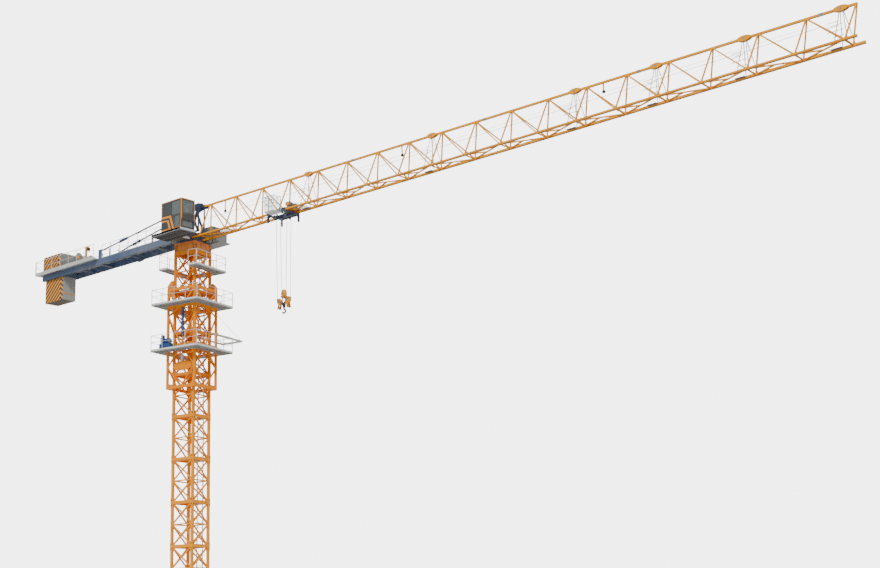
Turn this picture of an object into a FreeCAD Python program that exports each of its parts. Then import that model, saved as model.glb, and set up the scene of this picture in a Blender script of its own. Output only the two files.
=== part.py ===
import FreeCAD, Part
import math
import os
import re

import Sketcher

# Flat-top tower crane, modelled at half its real size. Millimetres, +Z up, +X along the jib.
# The origin is the centre of the base frame's underside, on the slewing axis.

doc = FreeCAD.newDocument("tower_crane")
sheet = doc.addObject("Spreadsheet::Sheet", "Sizes")
derived = doc.addObject("App::VarSet", "Derived")

SIZES = {
    # mast: square lattice sections on a cross of base beams
    "mast_turn": 10.84,
    "section_count": 9,
    "section_height": 1375,
    "mast_pitch": 800,
    "mast_leg": 80,
    "mast_ring": 100,
    "mast_lacing": 40,
    "base_height": 815,
    "base_beam_height": 420,
    "base_beam_width": 240,
    "base_beam_reach": 1450,
    "base_flange": 30,
    "base_web": 60,
    "foot_width": 420,
    "foot_bolt_inner": 1140,
    "foot_bolt_outer": 1360,
    "foot_bolt_side": 150,
    "foot_bolt_hole": 22,
    "ladder_width": 220,
    "ladder_rod": 26,
    "rung_step": 150,
    "landing_thickness": 30,
    "landing_gap": 17,
    # seat of the slewing ring on the mast
    "seat_height": 310,
    "seat_half": 425,
    "seat_wall": 60,
    "seat_pin_hole": 28,
    "running_gap": 0.5,
    # climbing cage, its platforms and its hydraulic jack
    "cage_pitch": 1100,
    "cage_leg": 70,
    "cage_ring": 100,
    "cage_lacing": 40,
    "cage_bottom_drop": 4605,
    "cage_node_drop": 3890,
    "cage_upper_node_drop": 2170,
    "cage_mid_ring_drop": 3190,
    "cage_top_drop": 1240,
    "gusset_top_drop": 990,
    "gusset_width": 300,
    "gusset_chamfer": 150,
    "guide_gap": 0.5,
    "guide_height": 160,
    "deck_thickness": 30,
    "deck_gap": 0.5,
    "cage_deck_reach": 365,
    "mast_deck_reach": 345,
    "mast_deck_opening": 840,
    "mast_deck_drop": 615,
    "upper_deck_drop": 1820,
    "lower_deck_drop": 3355,
    "rail_height": 490,
    "rail_bar": 15,
    "rail_post_step": 480,
    "toe_board": 25,
    "seat_gap": 0.3,
    "jack_offset": 492.5,
    "jack_barrel_radius": 47.5,
    "jack_rod_radius": 17.5,
    "jack_rod_gap": 0.1,
    "jack_bottom_drop": 2865,
    "jack_length": 930,
    "jack_wall": 10,
    "jack_rod_end_drop": 3555,
    "jack_rod_hold": 400,
    "yoke_half": 375,
    "yoke_bottom_drop": 4010,
    "yoke_height": 300,
    "yoke_thickness": 50,
    "pack_inset": 310,
    "pack_length": 430,
    "pack_width": 240,
    "pack_height": 500,
    "loading_reach": 2180,
    "loading_spread": 800,
    "loading_rail": 60,
    "loading_lift": 500,
    "wire_radius": 6,
    # upper works: turntable, head, cab, cabinets
    "jib_lift": 150,
    "bearing_radius": 400,
    "bearing_height": 70,
    "turntable_front": 250,
    "turntable_back": 450,
    "turntable_width": 720,
    "turntable_top": 210,
    "head_plate": 30,
    "head_gap": 220,
    "head_foot": 300,
    "head_pin_x": 570,
    "head_pin_radius": 32,
    "head_top": 1195,
    "head_beam": 170,
    "head_strut": 110,
    "head_leg": 50,
    "head_leg_x": 410,
    "head_sill": 60,
    "stay_pin_x": 80,
    "cab_sill": 500,
    "cab_rail": 50,
    "cab_back": -15,
    "cab_length": 1000,
    "cab_width": 560,
    "cab_height": 1000,
    "cab_side": 1340,
    "cab_wall": 35,
    "cab_lean": 40,
    "pane_thickness": 8,
    "balcony_back": -430,
    "balcony_front": 970,
    "balcony_side": 1385,
    "balcony_thickness": 70,
    "balcony_lip": 45,
    "cabinet_back": -50,
    "cabinet_drop": 143,
    "cabinet_shelf": 40,
    "cabinet_length": 850,
    "cabinet_width": 430,
    "cabinet_height": 600,
    # jib
    "jib_bays": 18,
    "jib_bay": 1250,
    "jib_first": 880,
    "jib_lead": 280,
    "jib_rise": 1072,
    "jib_taper": 0.0082,
    "jib_half": 243,
    "chord_width": 60,
    "lacing_width": 34,
    "lacing_top_offset": 24,
    "track_width": 30,
    "track_height": 10,
    # counter-jib
    "girder_offset": 325,
    "girder_width": 75,
    "girder_drop": 0,
    "girder_rise": 215,
    "counter_reach": 8000,
    "cross_width": 80,
    "stay_lug_x": 4590,
    "stay_lug_length": 180,
    "stay_lug_height": 335,
    "stay_width": 50,
    "stay_link": 420,
    "stay_link_share": 0.74,
    "deck_front": 4700,
    "deck_back": 8200,
    "deck_half": 535,
    "counter_deck": 37,
    "walkway_half": 305,
    "fascia_height": 130,
    "weight_front": 6850,
    "weight_band": 140,
    "weight_back": 7900,
    "weight_half": 280,
    "weight_head_half": 400,
    "weight_drop": 840,
    "weight_rise": 880,
    "weight_gap": 4,
    "winch_back": 6650,
    "winch_length": 950,
    "winch_half": 290,
    "drum_radius": 170,
    # trolley, hoist ropes and hook block
    "trolley_x": 4330,
    "trolley_length": 800,
    "trolley_half": 320,
    "trolley_plate": 12,
    "trolley_post": 50,
    "trolley_post_bottom": 305,
    "trolley_beam": 60,
    "wheel_radius": 35,
    "wheel_width": 20,
    "wheel_gap": 0.3,
    "clear_gap": 6,
    "trolley_winch_x": 4720,
    "trolley_winch_length": 300,
    "trolley_winch_width": 320,
    "trolley_winch_bed": 30,
    "trolley_drum_radius": 100,
    "basket_offset": 220,
    "basket_length": 400,
    "basket_depth": 330,
    "basket_height": 500,
    "rope_radius": 9,
    "rope_outer": 335,
    "rope_inner": 155,
    "rope_outer_low": 285,
    "rope_inner_low": 90,
    "rope_top": 150,
    "block_top": 2620,
    "block_sheave_radius": 145,
    "block_side_x": 180,
    "block_side_drop": 290,
    "block_side_radius": 122,
    "block_plate": 20,
    "block_width": 110,
    "swivel_drop": 390,
    "hook_drop": 640,
    "hook_bar": 26,
    "hook_radius": 62,
    "hook_neck": 24,
}

DERIVED = {
    "mast_top": "base_height + section_count * section_height",
    "mast_half": "mast_pitch / 2",
    "mast_outer": "mast_pitch / 2 + mast_leg / 2",
    "mast_inner": "mast_pitch / 2 - mast_leg / 2",
    "seat_top": "base_height + section_count * section_height + seat_height",
    "cage_bottom": "base_height + section_count * section_height - cage_bottom_drop",
    "cage_node": "base_height + section_count * section_height - cage_node_drop",
    "cage_upper_node": "base_height + section_count * section_height - cage_upper_node_drop",
    "cage_mid_ring": "base_height + section_count * section_height - cage_mid_ring_drop",
    "cage_top": "base_height + section_count * section_height - cage_top_drop",
    "gusset_top": "base_height + section_count * section_height - gusset_top_drop",
    "mast_deck_level": "base_height + section_count * section_height - mast_deck_drop",
    "upper_deck_level": "base_height + section_count * section_height - upper_deck_drop",
    "lower_deck_level": "base_height + section_count * section_height - lower_deck_drop",
    "jack_bottom": "base_height + section_count * section_height - jack_bottom_drop",
    "jack_rod_end": "base_height + section_count * section_height - jack_rod_end_drop",
    "yoke_bottom": "base_height + section_count * section_height - yoke_bottom_drop",
    "jib_level": "base_height + section_count * section_height + seat_height + jib_lift",
    "cage_half": "cage_pitch / 2",
    "cage_deck_half": "cage_pitch / 2 + cage_leg / 2 + cage_deck_reach",
    "mast_deck_half": "mast_pitch / 2 + mast_leg / 2 + mast_deck_reach",
    "cage_outer": "cage_pitch / 2 + cage_leg / 2",
    "cage_inner": "cage_pitch / 2 - cage_leg / 2",
    "jib_end": "jib_first + jib_bays * jib_bay + chord_width / 3",
    "chord_half": "chord_width / 2",
    "girder_top": "jib_level + girder_rise",
    "girder_bottom": "jib_level - girder_drop",
    "girder_outer": "girder_offset + girder_width / 2",
    "girder_inner": "girder_offset - girder_width / 2",
    "counter_deck_top": "jib_level + girder_rise + counter_deck",
    "head_base": "jib_level + turntable_top",
    "turntable_base": "base_height + section_count * section_height + seat_height + running_gap",
    "track_top": "jib_level - chord_width / 2 + track_height",
    "track_outer": "jib_half + chord_width / 2 + track_width",
    "trolley_front": "trolley_x + trolley_length / 2",
    "trolley_back": "trolley_x - trolley_length / 2",
    "block_level": "jib_level - block_top",
    "side_sheave_level": "jib_level - block_top - block_side_drop",
    "swivel_level": "jib_level - block_top - swivel_drop",
    "rope_start": "jib_level - rope_top",
    "balcony_top": "jib_level - seat_gap",
    "balcony_base": "jib_level - balcony_thickness",
}

OWNER = {name: "Sizes" for name in SIZES}
OWNER.update({name: "Derived" for name in DERIVED})


def formula(text):
    """Write a formula of plain names as an expression on the sheet and the derived values."""
    return re.sub(r"[a-z]\w*", lambda found: OWNER[found.group()] + "." + found.group(), str(text))


def fill_values():
    for row, (name, number) in enumerate(SIZES.items(), start=1):
        sheet.set("A%d" % row, name)
        sheet.set("B%d" % row, str(number))
        sheet.setAlias("B%d" % row, name)
    doc.recompute()
    for name, text in DERIVED.items():
        derived.addProperty("App::PropertyFloat", name, "Derived")
        derived.setExpression(name, formula(text))
    doc.recompute()


def value(name):
    """The number behind a name, as it stands in the document."""
    if OWNER[name] == "Sizes":
        return float(sheet.get(name))
    return float(getattr(derived, name))


fill_values()
NODES = []
UP = FreeCAD.Vector(0, 0, 1)
EAST = FreeCAD.Vector(1, 0, 0)
NORTH = FreeCAD.Vector(0, 1, 0)
FRONT_SIDE, BACK_SIDE = 0, 2


# ---------------------------------------------------------------- primitives bound to the values

def box(x_span, y_span, z_span):
    """A block between two planes on each axis, each plane a formula."""
    block = doc.addObject("Part::Box", "block")
    for side, axis, (low, high) in zip(("Length", "Width", "Height"), "xyz", (x_span, y_span, z_span)):
        block.setExpression(side, formula("(%s) - (%s)" % (high, low)))
        block.setExpression("Placement.Base." + axis, formula(low))
    return block


def rod(start, radius, length, axis=UP):
    """A round bar from a point along an axis."""
    piece = doc.addObject("Part::Cylinder", "rod")
    piece.setExpression("Radius", formula(radius))
    piece.setExpression("Height", formula(length))
    piece.Placement = FreeCAD.Placement(FreeCAD.Vector(), FreeCAD.Rotation(UP, axis))
    for name, text in zip("xyz", start):
        piece.setExpression("Placement.Base." + name, formula(text))
    return piece


def joined(parts):
    fuse = doc.addObject("Part::MultiFuse", "fuse")
    fuse.Shapes = parts
    fuse.Refine = True
    return fuse


def together(parts):
    group = doc.addObject("Part::Compound", "group")
    group.Links = parts
    return group


def cut(base, tool):
    result = doc.addObject("Part::Cut", "cut")
    result.Base = base
    result.Tool = tool
    return result


def node(label, piece, on_mast=False):
    """Name a sub-part and, on the mast, turn it with the mast about the slewing axis."""
    if on_mast:
        if not piece.isDerivedFrom("Part::Feature") or piece.TypeId in ("Part::Box", "Part::Cylinder"):
            piece = together([piece])
        piece.setExpression("Placement.Rotation.Angle", formula("mast_turn"))
    piece.Label = label
    NODES.append(piece)
    return piece


def solid_feature(name, shape):
    feature = doc.addObject("Part::Feature", name)
    feature.Shape = Part.makeCompound([shape])
    return feature


def outline_pad(name, role, points, low, high):
    """Pad a closed outline of formulas, drawn on an origin plane, between two distances from it."""
    body = doc.addObject("PartDesign::Body", name)
    sketch = body.newObject("Sketcher::SketchObject", name + "_sketch")
    plane = [item for item in body.Origin.OriginFeatures if item.Role == role][0]
    sketch.AttachmentSupport = [(plane, "")]
    sketch.MapMode = "FlatFace"
    corners = [FreeCAD.Vector(*corner_guess(point), 0) for point in points]
    for index, corner in enumerate(corners):
        sketch.addGeometry(Part.LineSegment(corner, corners[(index + 1) % len(corners)]))
    for index, (across, along) in enumerate(points):
        sketch.addConstraint(Sketcher.Constraint("Coincident", index - 1 if index else len(points) - 1, 2,
                                                 index, 1))
        for kind, text, guess in (("DistanceX", across, corners[index].x),
                                  ("DistanceY", along, corners[index].y)):
            number = sketch.addConstraint(Sketcher.Constraint(kind, -1, 1, index, 1, guess))
            sketch.setExpression("Constraints[%d]" % number, formula(text))
    pad = body.newObject("PartDesign::Pad", name + "_pad")
    pad.Profile = sketch
    pad.setExpression("Length", formula("(%s) - (%s)" % (high, low)))
    sketch.setExpression("AttachmentOffset.Base.z", formula(low))
    return body


def corner_guess(point):
    """The numbers that two formulas stand for, from a scratch pair of derived values."""
    result = []
    for name, text in zip(("guess_u", "guess_v"), point):
        if name not in derived.PropertiesList:
            derived.addProperty("App::PropertyFloat", name, "Scratch")
        derived.setExpression(name, formula(text))
        derived.recompute()
        result.append(getattr(derived, name))
    return result


# ---------------------------------------------------------------- lattice helpers

def bar(start, end, width, depth, across):
    """A square-edged bar between two points, its depth measured along the direction across."""
    along = end - start
    across = FreeCAD.Vector(across).normalize()
    side = along.cross(across).normalize() * (width / 2)
    low = across * (-depth / 2)
    corners = [start + side + low, end + side + low, end - side + low, start - side + low]
    return Part.Face(Part.makePolygon(corners + corners[:1])).extrude(across * depth)


def flat_bar(start, end, width, depth, offset=0.0):
    """A bar in the XZ plane at y = offset, between two (x, z) points."""
    first = FreeCAD.Vector(start[0], offset, start[1])
    last = FreeCAD.Vector(end[0], offset, end[1])
    return bar(first, last, width, depth, NORTH)


def fused(shapes):
    return shapes[0].multiFuse(shapes[1:]).removeSplitter() if len(shapes) > 1 else shapes[0]


def turned(shape, degrees):
    copy = shape.copy()
    copy.rotate(FreeCAD.Vector(), UP, degrees)
    return copy


def block_shape(x_low, x_high, y_low, y_high, z_low, z_high):
    size = (x_high - x_low, y_high - y_low, z_high - z_low)
    return Part.makeBox(*size, FreeCAD.Vector(x_low, y_low, z_low))


# ---------------------------------------------------------------- base and mast

def base_frame():
    """Two crossed I-beams under the mast legs, with a plate at each end for the foundation bolts."""
    def cross(width, low, high):
        arms = []
        for across in (False, True):
            long_way = ("-base_beam_reach", "base_beam_reach")
            short_way = ("-%s / 2" % width, "%s / 2" % width)
            spans = (short_way, long_way) if across else (long_way, short_way)
            arms.append(box(*spans, (low, high)))
        return arms
    pieces = cross("base_beam_width", "0", "base_flange")
    pieces += cross("base_web", "base_flange", "base_beam_height - base_flange")
    pieces += cross("base_beam_width", "base_beam_height - base_flange", "base_beam_height")
    far, wide = "base_beam_reach", "foot_width / 2"
    near = "base_beam_reach - foot_width"
    for x_span, y_span in (((near, far), ("-" + wide, wide)),
                           (("-" + far, "-(%s)" % near), ("-" + wide, wide)),
                           (("-" + wide, wide), (near, far)),
                           (("-" + wide, wide), ("-" + far, "-(%s)" % near))):
        pieces.append(box(x_span, y_span, ("0", "base_flange")))
    holes = []
    for along, aside in (("foot_bolt_inner", "foot_bolt_side"), ("foot_bolt_outer", "-foot_bolt_side")):
        for spot in ((along, aside), ("-(%s)" % aside, along), ("-" + along, "-(%s)" % aside),
                     (aside, "-" + along)):
            holes.append(rod(spot + ("-1",), "foot_bolt_hole", "base_flange + 2"))
    frame = cut(joined(pieces), together(holes))
    frame.setExpression("Placement.Rotation.Angle", formula("mast_turn + 45"))
    frame.Label = "base_frame"
    NODES.append(frame)


def mast_side(with_legs):
    """One side of the mast in the XZ plane: X-braced panels between ring beams."""
    half, leg = value("mast_half"), value("mast_leg")
    low, top = value("base_height"), value("mast_top")
    section, ring, thin = value("section_height"), value("mast_ring"), value("mast_lacing")
    bars = []
    for index in range(int(value("section_count"))):
        floor = low + index * section
        for panel in range(2):
            bottom = floor + panel * section / 2
            upper = bottom + section / 2
            bars.append(flat_bar((-half, bottom), (half, upper), thin, thin))
            bars.append(flat_bar((half, bottom), (-half, upper), thin, thin))
        bars.append(flat_bar((-half, floor + section / 2), (half, floor + section / 2), thin, thin))
        bars.append(flat_bar((-half, floor), (half, floor), ring, leg))
    bars.append(flat_bar((-half, top - ring / 2), (half, top - ring / 2), ring, leg))
    lattice = fused(bars)
    gap = half - leg / 2
    clear = block_shape(-gap, gap, -leg, leg, 0, top)
    lattice = lattice.common(clear)
    if not with_legs:
        return lattice
    legs = [block_shape(side * half - leg / 2, side * half + leg / 2, -leg / 2, leg / 2,
                        value("base_beam_height"), top) for side in (-1, 1)]
    return fused([lattice] + legs)


def mast_sides():
    half = value("mast_half")
    for label, turn, with_legs in (("mast_front", 0, True), ("mast_right", 90, False),
                                   ("mast_back", 180, True), ("mast_left", 270, False)):
        side = mast_side(with_legs)
        side.translate(FreeCAD.Vector(0, -half, 0))
        node(label, solid_feature(label, turned(side, turn)), on_mast=True)


def mast_ladder():
    """A ladder up the inside of the back side, held off it by a bracket at each ring beam."""
    width, rod_size, step = value("ladder_width"), value("ladder_rod"), value("rung_step")
    low, top = value("base_beam_height"), value("mast_top") - value("mast_ring")
    centre = value("mast_inner") - width
    plane = value("mast_inner") - 2 * rod_size
    bars = [flat_bar((centre + side * width / 2, low), (centre + side * width / 2, top), rod_size, rod_size,
                     plane)
            for side in (-1, 1)]
    level = low + step
    while level < top - rod_size:
        bars.append(flat_bar((centre - width / 2, level), (centre + width / 2, level), rod_size / 2,
                             rod_size / 2, plane))
        level += step
    for index in range(int(value("section_count"))):
        height = value("base_height") + index * value("section_height")
        for side in (-1, 1):
            x_mid = centre + side * width / 2
            bars.append(block_shape(x_mid - rod_size / 2, x_mid + rod_size / 2, plane,
                                    value("mast_inner") - value("seat_gap"), height, height + rod_size))
    node("mast_ladder", solid_feature("mast_ladder", fused(bars)), on_mast=True)


def landings():
    """A rest platform across one half of the mast at each section joint."""
    plates = []
    edge = "mast_inner - seat_gap"
    for index in range(1, int(value("section_count"))):
        floor = "base_height + %d * section_height" % index
        inside = "mast_inner - 1.5 * ladder_width - ladder_rod / 2 - landing_gap"
        plates.append(box(("-(%s)" % edge, inside), ("-(%s)" % edge, edge),
                          (floor, floor + " + landing_thickness")))
    node("landings", together(plates), on_mast=True)


def slewing_seat():
    """The square box on the mast that carries the slewing ring, with two pin holes near each corner."""
    outer = ("-seat_half", "seat_half")
    inner = ("-(seat_half - seat_wall)", "seat_half - seat_wall")
    shell = box(outer, outer, ("mast_top", "seat_top"))
    hollow = box(inner, inner, ("mast_top - 1", "seat_top - seat_wall"))
    well = rod(("0", "0", "mast_top - 1"), "bearing_radius - 2 * seat_wall", "seat_height + 2")
    holes = []
    for side in ("-1", "1"):
        for lift in ("0.3", "0.7"):
            start = (side + " * (seat_half - seat_wall * 1.6)", "-seat_half - 1",
                     "mast_top + %s * seat_height" % lift)
            holes.append(rod(start, "seat_pin_hole", "2 * seat_half + 2", NORTH))
            start = ("-seat_half - 1", side + " * (seat_half - seat_wall * 1.6)",
                     "mast_top + %s * seat_height" % lift)
            holes.append(rod(start, "seat_pin_hole", "2 * seat_half + 2", EAST))
    node("slewing_seat", cut(cut(cut(shell, hollow), well), together(holes)), on_mast=True)


# ---------------------------------------------------------------- platforms

def ring_deck(label, level, inner, outer, opening=None):
    """Plates laid end to side around the tower, each a hair off its neighbour.

    An opening leaves a gap in the middle of the front side, which is then two plates."""
    level_span = (level, level + " + deck_thickness")
    near, far = "(%s + seat_gap)" % inner, outer
    short = "(%s + seat_gap - deck_gap)" % inner
    front = [("-" + far, short)]
    if opening:
        front = [("-" + far, "-%s / 2" % opening), ("%s / 2" % opening, short)]
    plates = [box(span, ("-" + far, "-" + near), level_span) for span in front]
    plates += [
        box((near, far), ("-" + far, short), level_span),
        box(("-" + short, far), (near, far), level_span),
        box(("-" + far, "-" + near), ("-" + short, far), level_span),
    ]
    node(label, together(plates), on_mast=True)


def rail_panel(length, toe):
    """A railing in the XZ plane from x = 0, standing on z = 0: posts, two rails and a toe board."""
    height, thick = value("rail_height"), value("rail_bar")
    count = max(1, round(length / value("rail_post_step")))
    bars = [flat_bar((0, height - thick / 2), (length, height - thick / 2), thick, thick),
            flat_bar((0, height * 0.52), (length, height * 0.52), thick * 0.8, thick * 0.8),
            block_shape(0, length, -thick / 4, thick / 4, 0, toe)]
    for index in range(count + 1):
        x_mid = thick / 2 + index * (length - thick) / count
        bars.append(block_shape(x_mid - thick / 2, x_mid + thick / 2, -thick / 2, thick / 2, 0, height))
    return fused(bars)


def ring_rails(label, level, outer, gate=0.0, gate_side=BACK_SIDE):
    """A railing on each edge of a ring deck; a gate leaves a gap in the middle of one side's."""
    edge = value(outer)
    thick = value("rail_bar")
    toe = value("toe_board")
    floor = value(level) + value("deck_thickness")
    panels = []
    length = 2 * edge - 2 * thick
    for turn in range(4):
        pieces = [(-length / 2, length)]
        if gate and turn == gate_side:
            part = (length - gate) / 2
            pieces = [(-length / 2, part), (gate / 2, part)]
        for start, run in pieces:
            panel = rail_panel(run, toe)
            panel.translate(FreeCAD.Vector(start, -edge + thick / 2, floor))
            panels.append(turned(panel, 90 * turn))
    node(label, solid_feature(label, Part.makeCompound(panels)), on_mast=True)


# ---------------------------------------------------------------- climbing cage

def cage_side(with_legs, closed):
    """One side of the climbing cage in the XZ plane; the side that isn't closed lets a mast section in."""
    half, leg, thin = value("cage_half"), value("cage_leg"), value("cage_lacing")
    ring = value("cage_ring")
    bottom, top = value("cage_bottom"), value("cage_top")
    node_level, middle = value("cage_node"), value("cage_mid_ring")
    upper_node = value("cage_upper_node")
    upper = value("upper_deck_level") - ring / 2
    levels = [bottom + ring / 2, middle, upper, top - ring / 2]
    bars = [flat_bar((-half, level), (half, level), ring, leg) for level in levels]
    for side in (-1, 1):
        bars.append(flat_bar((side * half, node_level), (0, levels[0]), thin, thin))
        bars.append(flat_bar((side * half, node_level), (0, middle), thin, thin))
        if closed:
            bars.append(flat_bar((side * half, upper_node), (0, middle), thin, thin))
            bars.append(flat_bar((side * half, upper_node), (0, upper), thin, thin))
        bars.append(flat_bar((side * half, top - ring / 2), (side * thin, upper), thin, thin))
    gap = half - leg / 2
    lattice = fused(bars).common(block_shape(-gap, gap, -leg, leg, bottom, top))
    if not with_legs:
        return lattice
    legs = [block_shape(side * half - leg / 2, side * half + leg / 2, -leg / 2, leg / 2, bottom, top)
            for side in (-1, 1)]
    return fused([lattice] + legs + gussets() + guides())


def gussets():
    """A chamfered plate on top of the left leg; the back side's copy stands on the opposite corner."""
    outer, width, chamfer = value("cage_outer"), value("gusset_width"), value("gusset_chamfer")
    top, low, depth = value("gusset_top"), value("cage_top") - value("gusset_width"), value("cage_leg") / 2
    plates = []
    edge = outer - value("mast_inner")
    profile = [(outer, low), (outer, top - chamfer), (outer - chamfer, top), (outer - edge, top),
               (outer - edge, low)]
    corners = [FreeCAD.Vector(-across, -depth / 2, level) for across, level in profile]
    plates.append(Part.Face(Part.makePolygon(corners + corners[:1])).extrude(NORTH * depth))
    return plates


def guides():
    """Pads from the cage's legs to the mast's legs, low and high, with a sliding gap."""
    half, leg, gap = value("cage_half"), value("cage_leg"), value("guide_gap")
    mast = value("mast_outer")
    inset = half - mast
    pads = []
    for level in (value("cage_bottom"), value("cage_top") - value("guide_height")):
        for side in (-1, 1):
            x_low, x_high = sorted((side * (mast + gap), side * (half - leg / 2)))
            reach = half - value("mast_half")
            pads.append(block_shape(x_low, x_high, leg / 2, reach + value("mast_leg") / 2,
                                    level, level + value("guide_height")))
            pads.append(block_shape(x_low, x_high, -leg / 2, leg / 2, level, level + value("guide_height")))
            x_low, x_high = sorted((side * (value("mast_half") - value("mast_leg") / 2), side * (mast + gap)))
            pads.append(block_shape(x_low, x_high, leg / 2, inset - gap, level,
                                    level + value("guide_height")))
    return pads


def cage_sides():
    half = value("cage_half")
    for label, turn, with_legs in (("cage_front", 0, True), ("cage_right", 90, False),
                                   ("cage_back", 180, True), ("cage_left", 270, False)):
        side = cage_side(with_legs, closed=label != "cage_back")
        side.translate(FreeCAD.Vector(0, -half, 0))
        node(label, solid_feature(label, turned(side, turn)), on_mast=True)


def jack():
    """A hydraulic cylinder in front of the mast: its barrel hangs in the cage, its rod stands on the yoke."""
    y_mid = "-jack_offset"
    barrel = rod(("0", y_mid, "jack_bottom"), "jack_barrel_radius", "jack_length")
    bore = rod(("0", y_mid, "jack_bottom - 1"), "jack_rod_radius + jack_rod_gap", "jack_length - jack_wall")
    lug = box(("-jack_barrel_radius", "jack_barrel_radius"),
              ("-(cage_inner - seat_gap)", "-(jack_offset - 25)"),
              ("jack_bottom + jack_length - 5", "upper_deck_level"))
    node("jack_barrel", cut(joined([barrel, lug]), bore), on_mast=True)
    stem = rod(("0", y_mid, "jack_rod_end"), "jack_rod_radius", "jack_bottom - jack_rod_end + jack_rod_hold")
    end = box(("-jack_barrel_radius", "jack_barrel_radius"),
              ("-(jack_offset + jack_rod_radius)", "-(jack_offset - jack_rod_radius)"),
              ("yoke_bottom + yoke_height", "jack_rod_end + 60"))
    node("jack_rod", joined([stem, end]), on_mast=True)


def jack_yoke():
    """The beam under the jack, hooked on the front of the mast; its ends turn up like horns."""
    high = "yoke_bottom + yoke_height"
    points = [("-yoke_half", "yoke_bottom + 0.25 * yoke_height"), ("-yoke_half * 0.55", "yoke_bottom"),
              ("yoke_half * 0.55", "yoke_bottom"), ("yoke_half", "yoke_bottom + 0.25 * yoke_height"),
              ("yoke_half", "yoke_bottom + 0.75 * yoke_height"), ("yoke_half * 0.45", high),
              ("-yoke_half * 0.45", high), ("-yoke_half", "yoke_bottom + 0.75 * yoke_height")]
    body = outline_pad("yoke", "XZ_Plane", points, "mast_outer + seat_gap",
                       "mast_outer + seat_gap + yoke_thickness")
    node("jack_yoke", together([body]), on_mast=True)


def power_pack():
    """The hydraulic power pack on the lower platform: a tank, a motor lying on it and a pump on end."""
    floor = "lower_deck_level + deck_thickness"
    left = "-(cage_deck_half - pack_inset)"
    near = "-(cage_deck_half - 60)"
    lid = floor + " + 0.37 * pack_height"
    tank = box((left, left + " + pack_length"), (near, near + " + pack_width"), (floor, lid))
    motor = rod((left + " + 0.14 * pack_length", near + " + pack_width / 2", lid + " + 0.17 * pack_height"),
                "0.18 * pack_height", "0.72 * pack_length", EAST)
    pump = rod((left + " + 0.15 * pack_length", near + " + pack_width / 2", lid + " - 5"),
               "0.13 * pack_height", "0.6 * pack_height", UP)
    node("power_pack", joined([tank, motor, pump]), on_mast=True)


def loading_rails():
    """Two monorail beams that reach out behind the cage's open side, tied at both ends and held by two wires."""
    start, reach = value("cage_outer") + value("seat_gap"), value("loading_reach")
    spread, thick = value("loading_spread") / 2, value("loading_rail")
    level = value("cage_mid_ring") + value("loading_lift")
    wire = value("wire_radius")
    outer = value("cage_outer")
    bars = [block_shape(side * spread - thick / 3, side * spread + thick / 3, start, reach, level - thick / 2,
                        level + thick / 2) for side in (-1, 1)]
    bars.append(block_shape(-spread, spread, reach - thick, reach, level - thick / 2, level + thick / 2))
    bars.append(block_shape(-outer, outer, start, start + thick, level - thick / 2, level + thick / 2))
    bars.append(block_shape(-outer, outer, start, start + 3 * wire, value("upper_deck_level") - 100,
                            value("upper_deck_level") - 70))
    for side in (-1, 1):
        foot = FreeCAD.Vector(side * spread, reach - thick / 2, level)
        head = FreeCAD.Vector(side * spread, start + 2 * wire, value("upper_deck_level") - 85)
        bars.append(Part.makeCylinder(wire, (head - foot).Length, foot, head - foot))
    node("loading_rails", solid_feature("loading_rails", fused(bars)), on_mast=True)


# ---------------------------------------------------------------- upper works

def turntable():
    """The slewing ring and the box above it that the jib, counter-jib and head are pinned to."""
    ring = rod(("0", "0", "turntable_base"), "bearing_radius", "bearing_height")
    half = "turntable_width / 2"
    body = box(("-turntable_back", "turntable_front"), ("-" + half, half),
               ("turntable_base + bearing_height", "head_base"))
    node("turntable", joined([ring, body]))


def tower_head():
    """Two framed plates: a sill, a strut that leans forward, a beam out to the jib's pin, a leg and a brace."""
    pin_x, pin_level = value("head_pin_x"), value("jib_level") + value("jib_rise") - value("jib_taper") * value("head_pin_x")
    base, top = value("head_base") + value("seat_gap"), value("jib_level") + value("head_top")
    foot, beam, strut = value("head_foot"), value("head_beam"), value("head_strut")
    leg, leg_x, sill = value("head_leg"), value("head_leg_x"), value("head_sill")
    radius, plate, gap = value("head_pin_radius"), value("head_plate"), value("head_gap")
    shapes = [[(-foot, base), (leg_x + leg, base), (leg_x + leg, base + sill), (-foot, base + sill)],
              [(-foot, base), (strut - foot, base), (strut, top - beam / 2), (0, top - beam / 2)],
              [(0, top - beam / 2), (strut / 2, top), (leg_x, top),
               (pin_x + 2 * radius, pin_level + 2 * radius),
               (pin_x + 2 * radius, pin_level - 2 * radius), (leg_x, top - beam),
               (strut / 2, top - 1.5 * beam),
               (-strut / 4, top - 1.5 * beam)],
              [(leg_x - leg / 2, base), (leg_x + leg / 2, base), (leg_x + leg / 2, top - beam / 2),
               (leg_x - leg / 2, top - beam / 2)],
              [(0, top - 1.5 * beam), (leg_x - leg, base), (leg_x + leg / 2, base),
               (strut, top - 1.5 * beam)]]
    pieces = []
    for low in (gap / 2, -gap / 2 - plate):
        for outline in shapes:
            corners = [FreeCAD.Vector(across, low, level) for across, level in outline]
            pieces.append(Part.Face(Part.makePolygon(corners + corners[:1])).extrude(NORTH * plate))
    for x_mid, level in ((pin_x, pin_level), (value("stay_pin_x"), top - 1.2 * radius)):
        start = FreeCAD.Vector(x_mid, -gap / 2 - 2 * plate, level)
        pieces.append(Part.makeCylinder(radius, gap + 4 * plate, start, NORTH))
    pieces.append(block_shape(sill - foot, 2 * sill - foot, -gap / 2, gap / 2, base, base + sill))
    pieces.append(block_shape(leg_x - 2 * leg, leg_x - leg, -gap / 2, gap / 2, top - 0.7 * beam,
                              top - 0.4 * beam))
    node("tower_head", solid_feature("tower_head", fused(pieces)))


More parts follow.
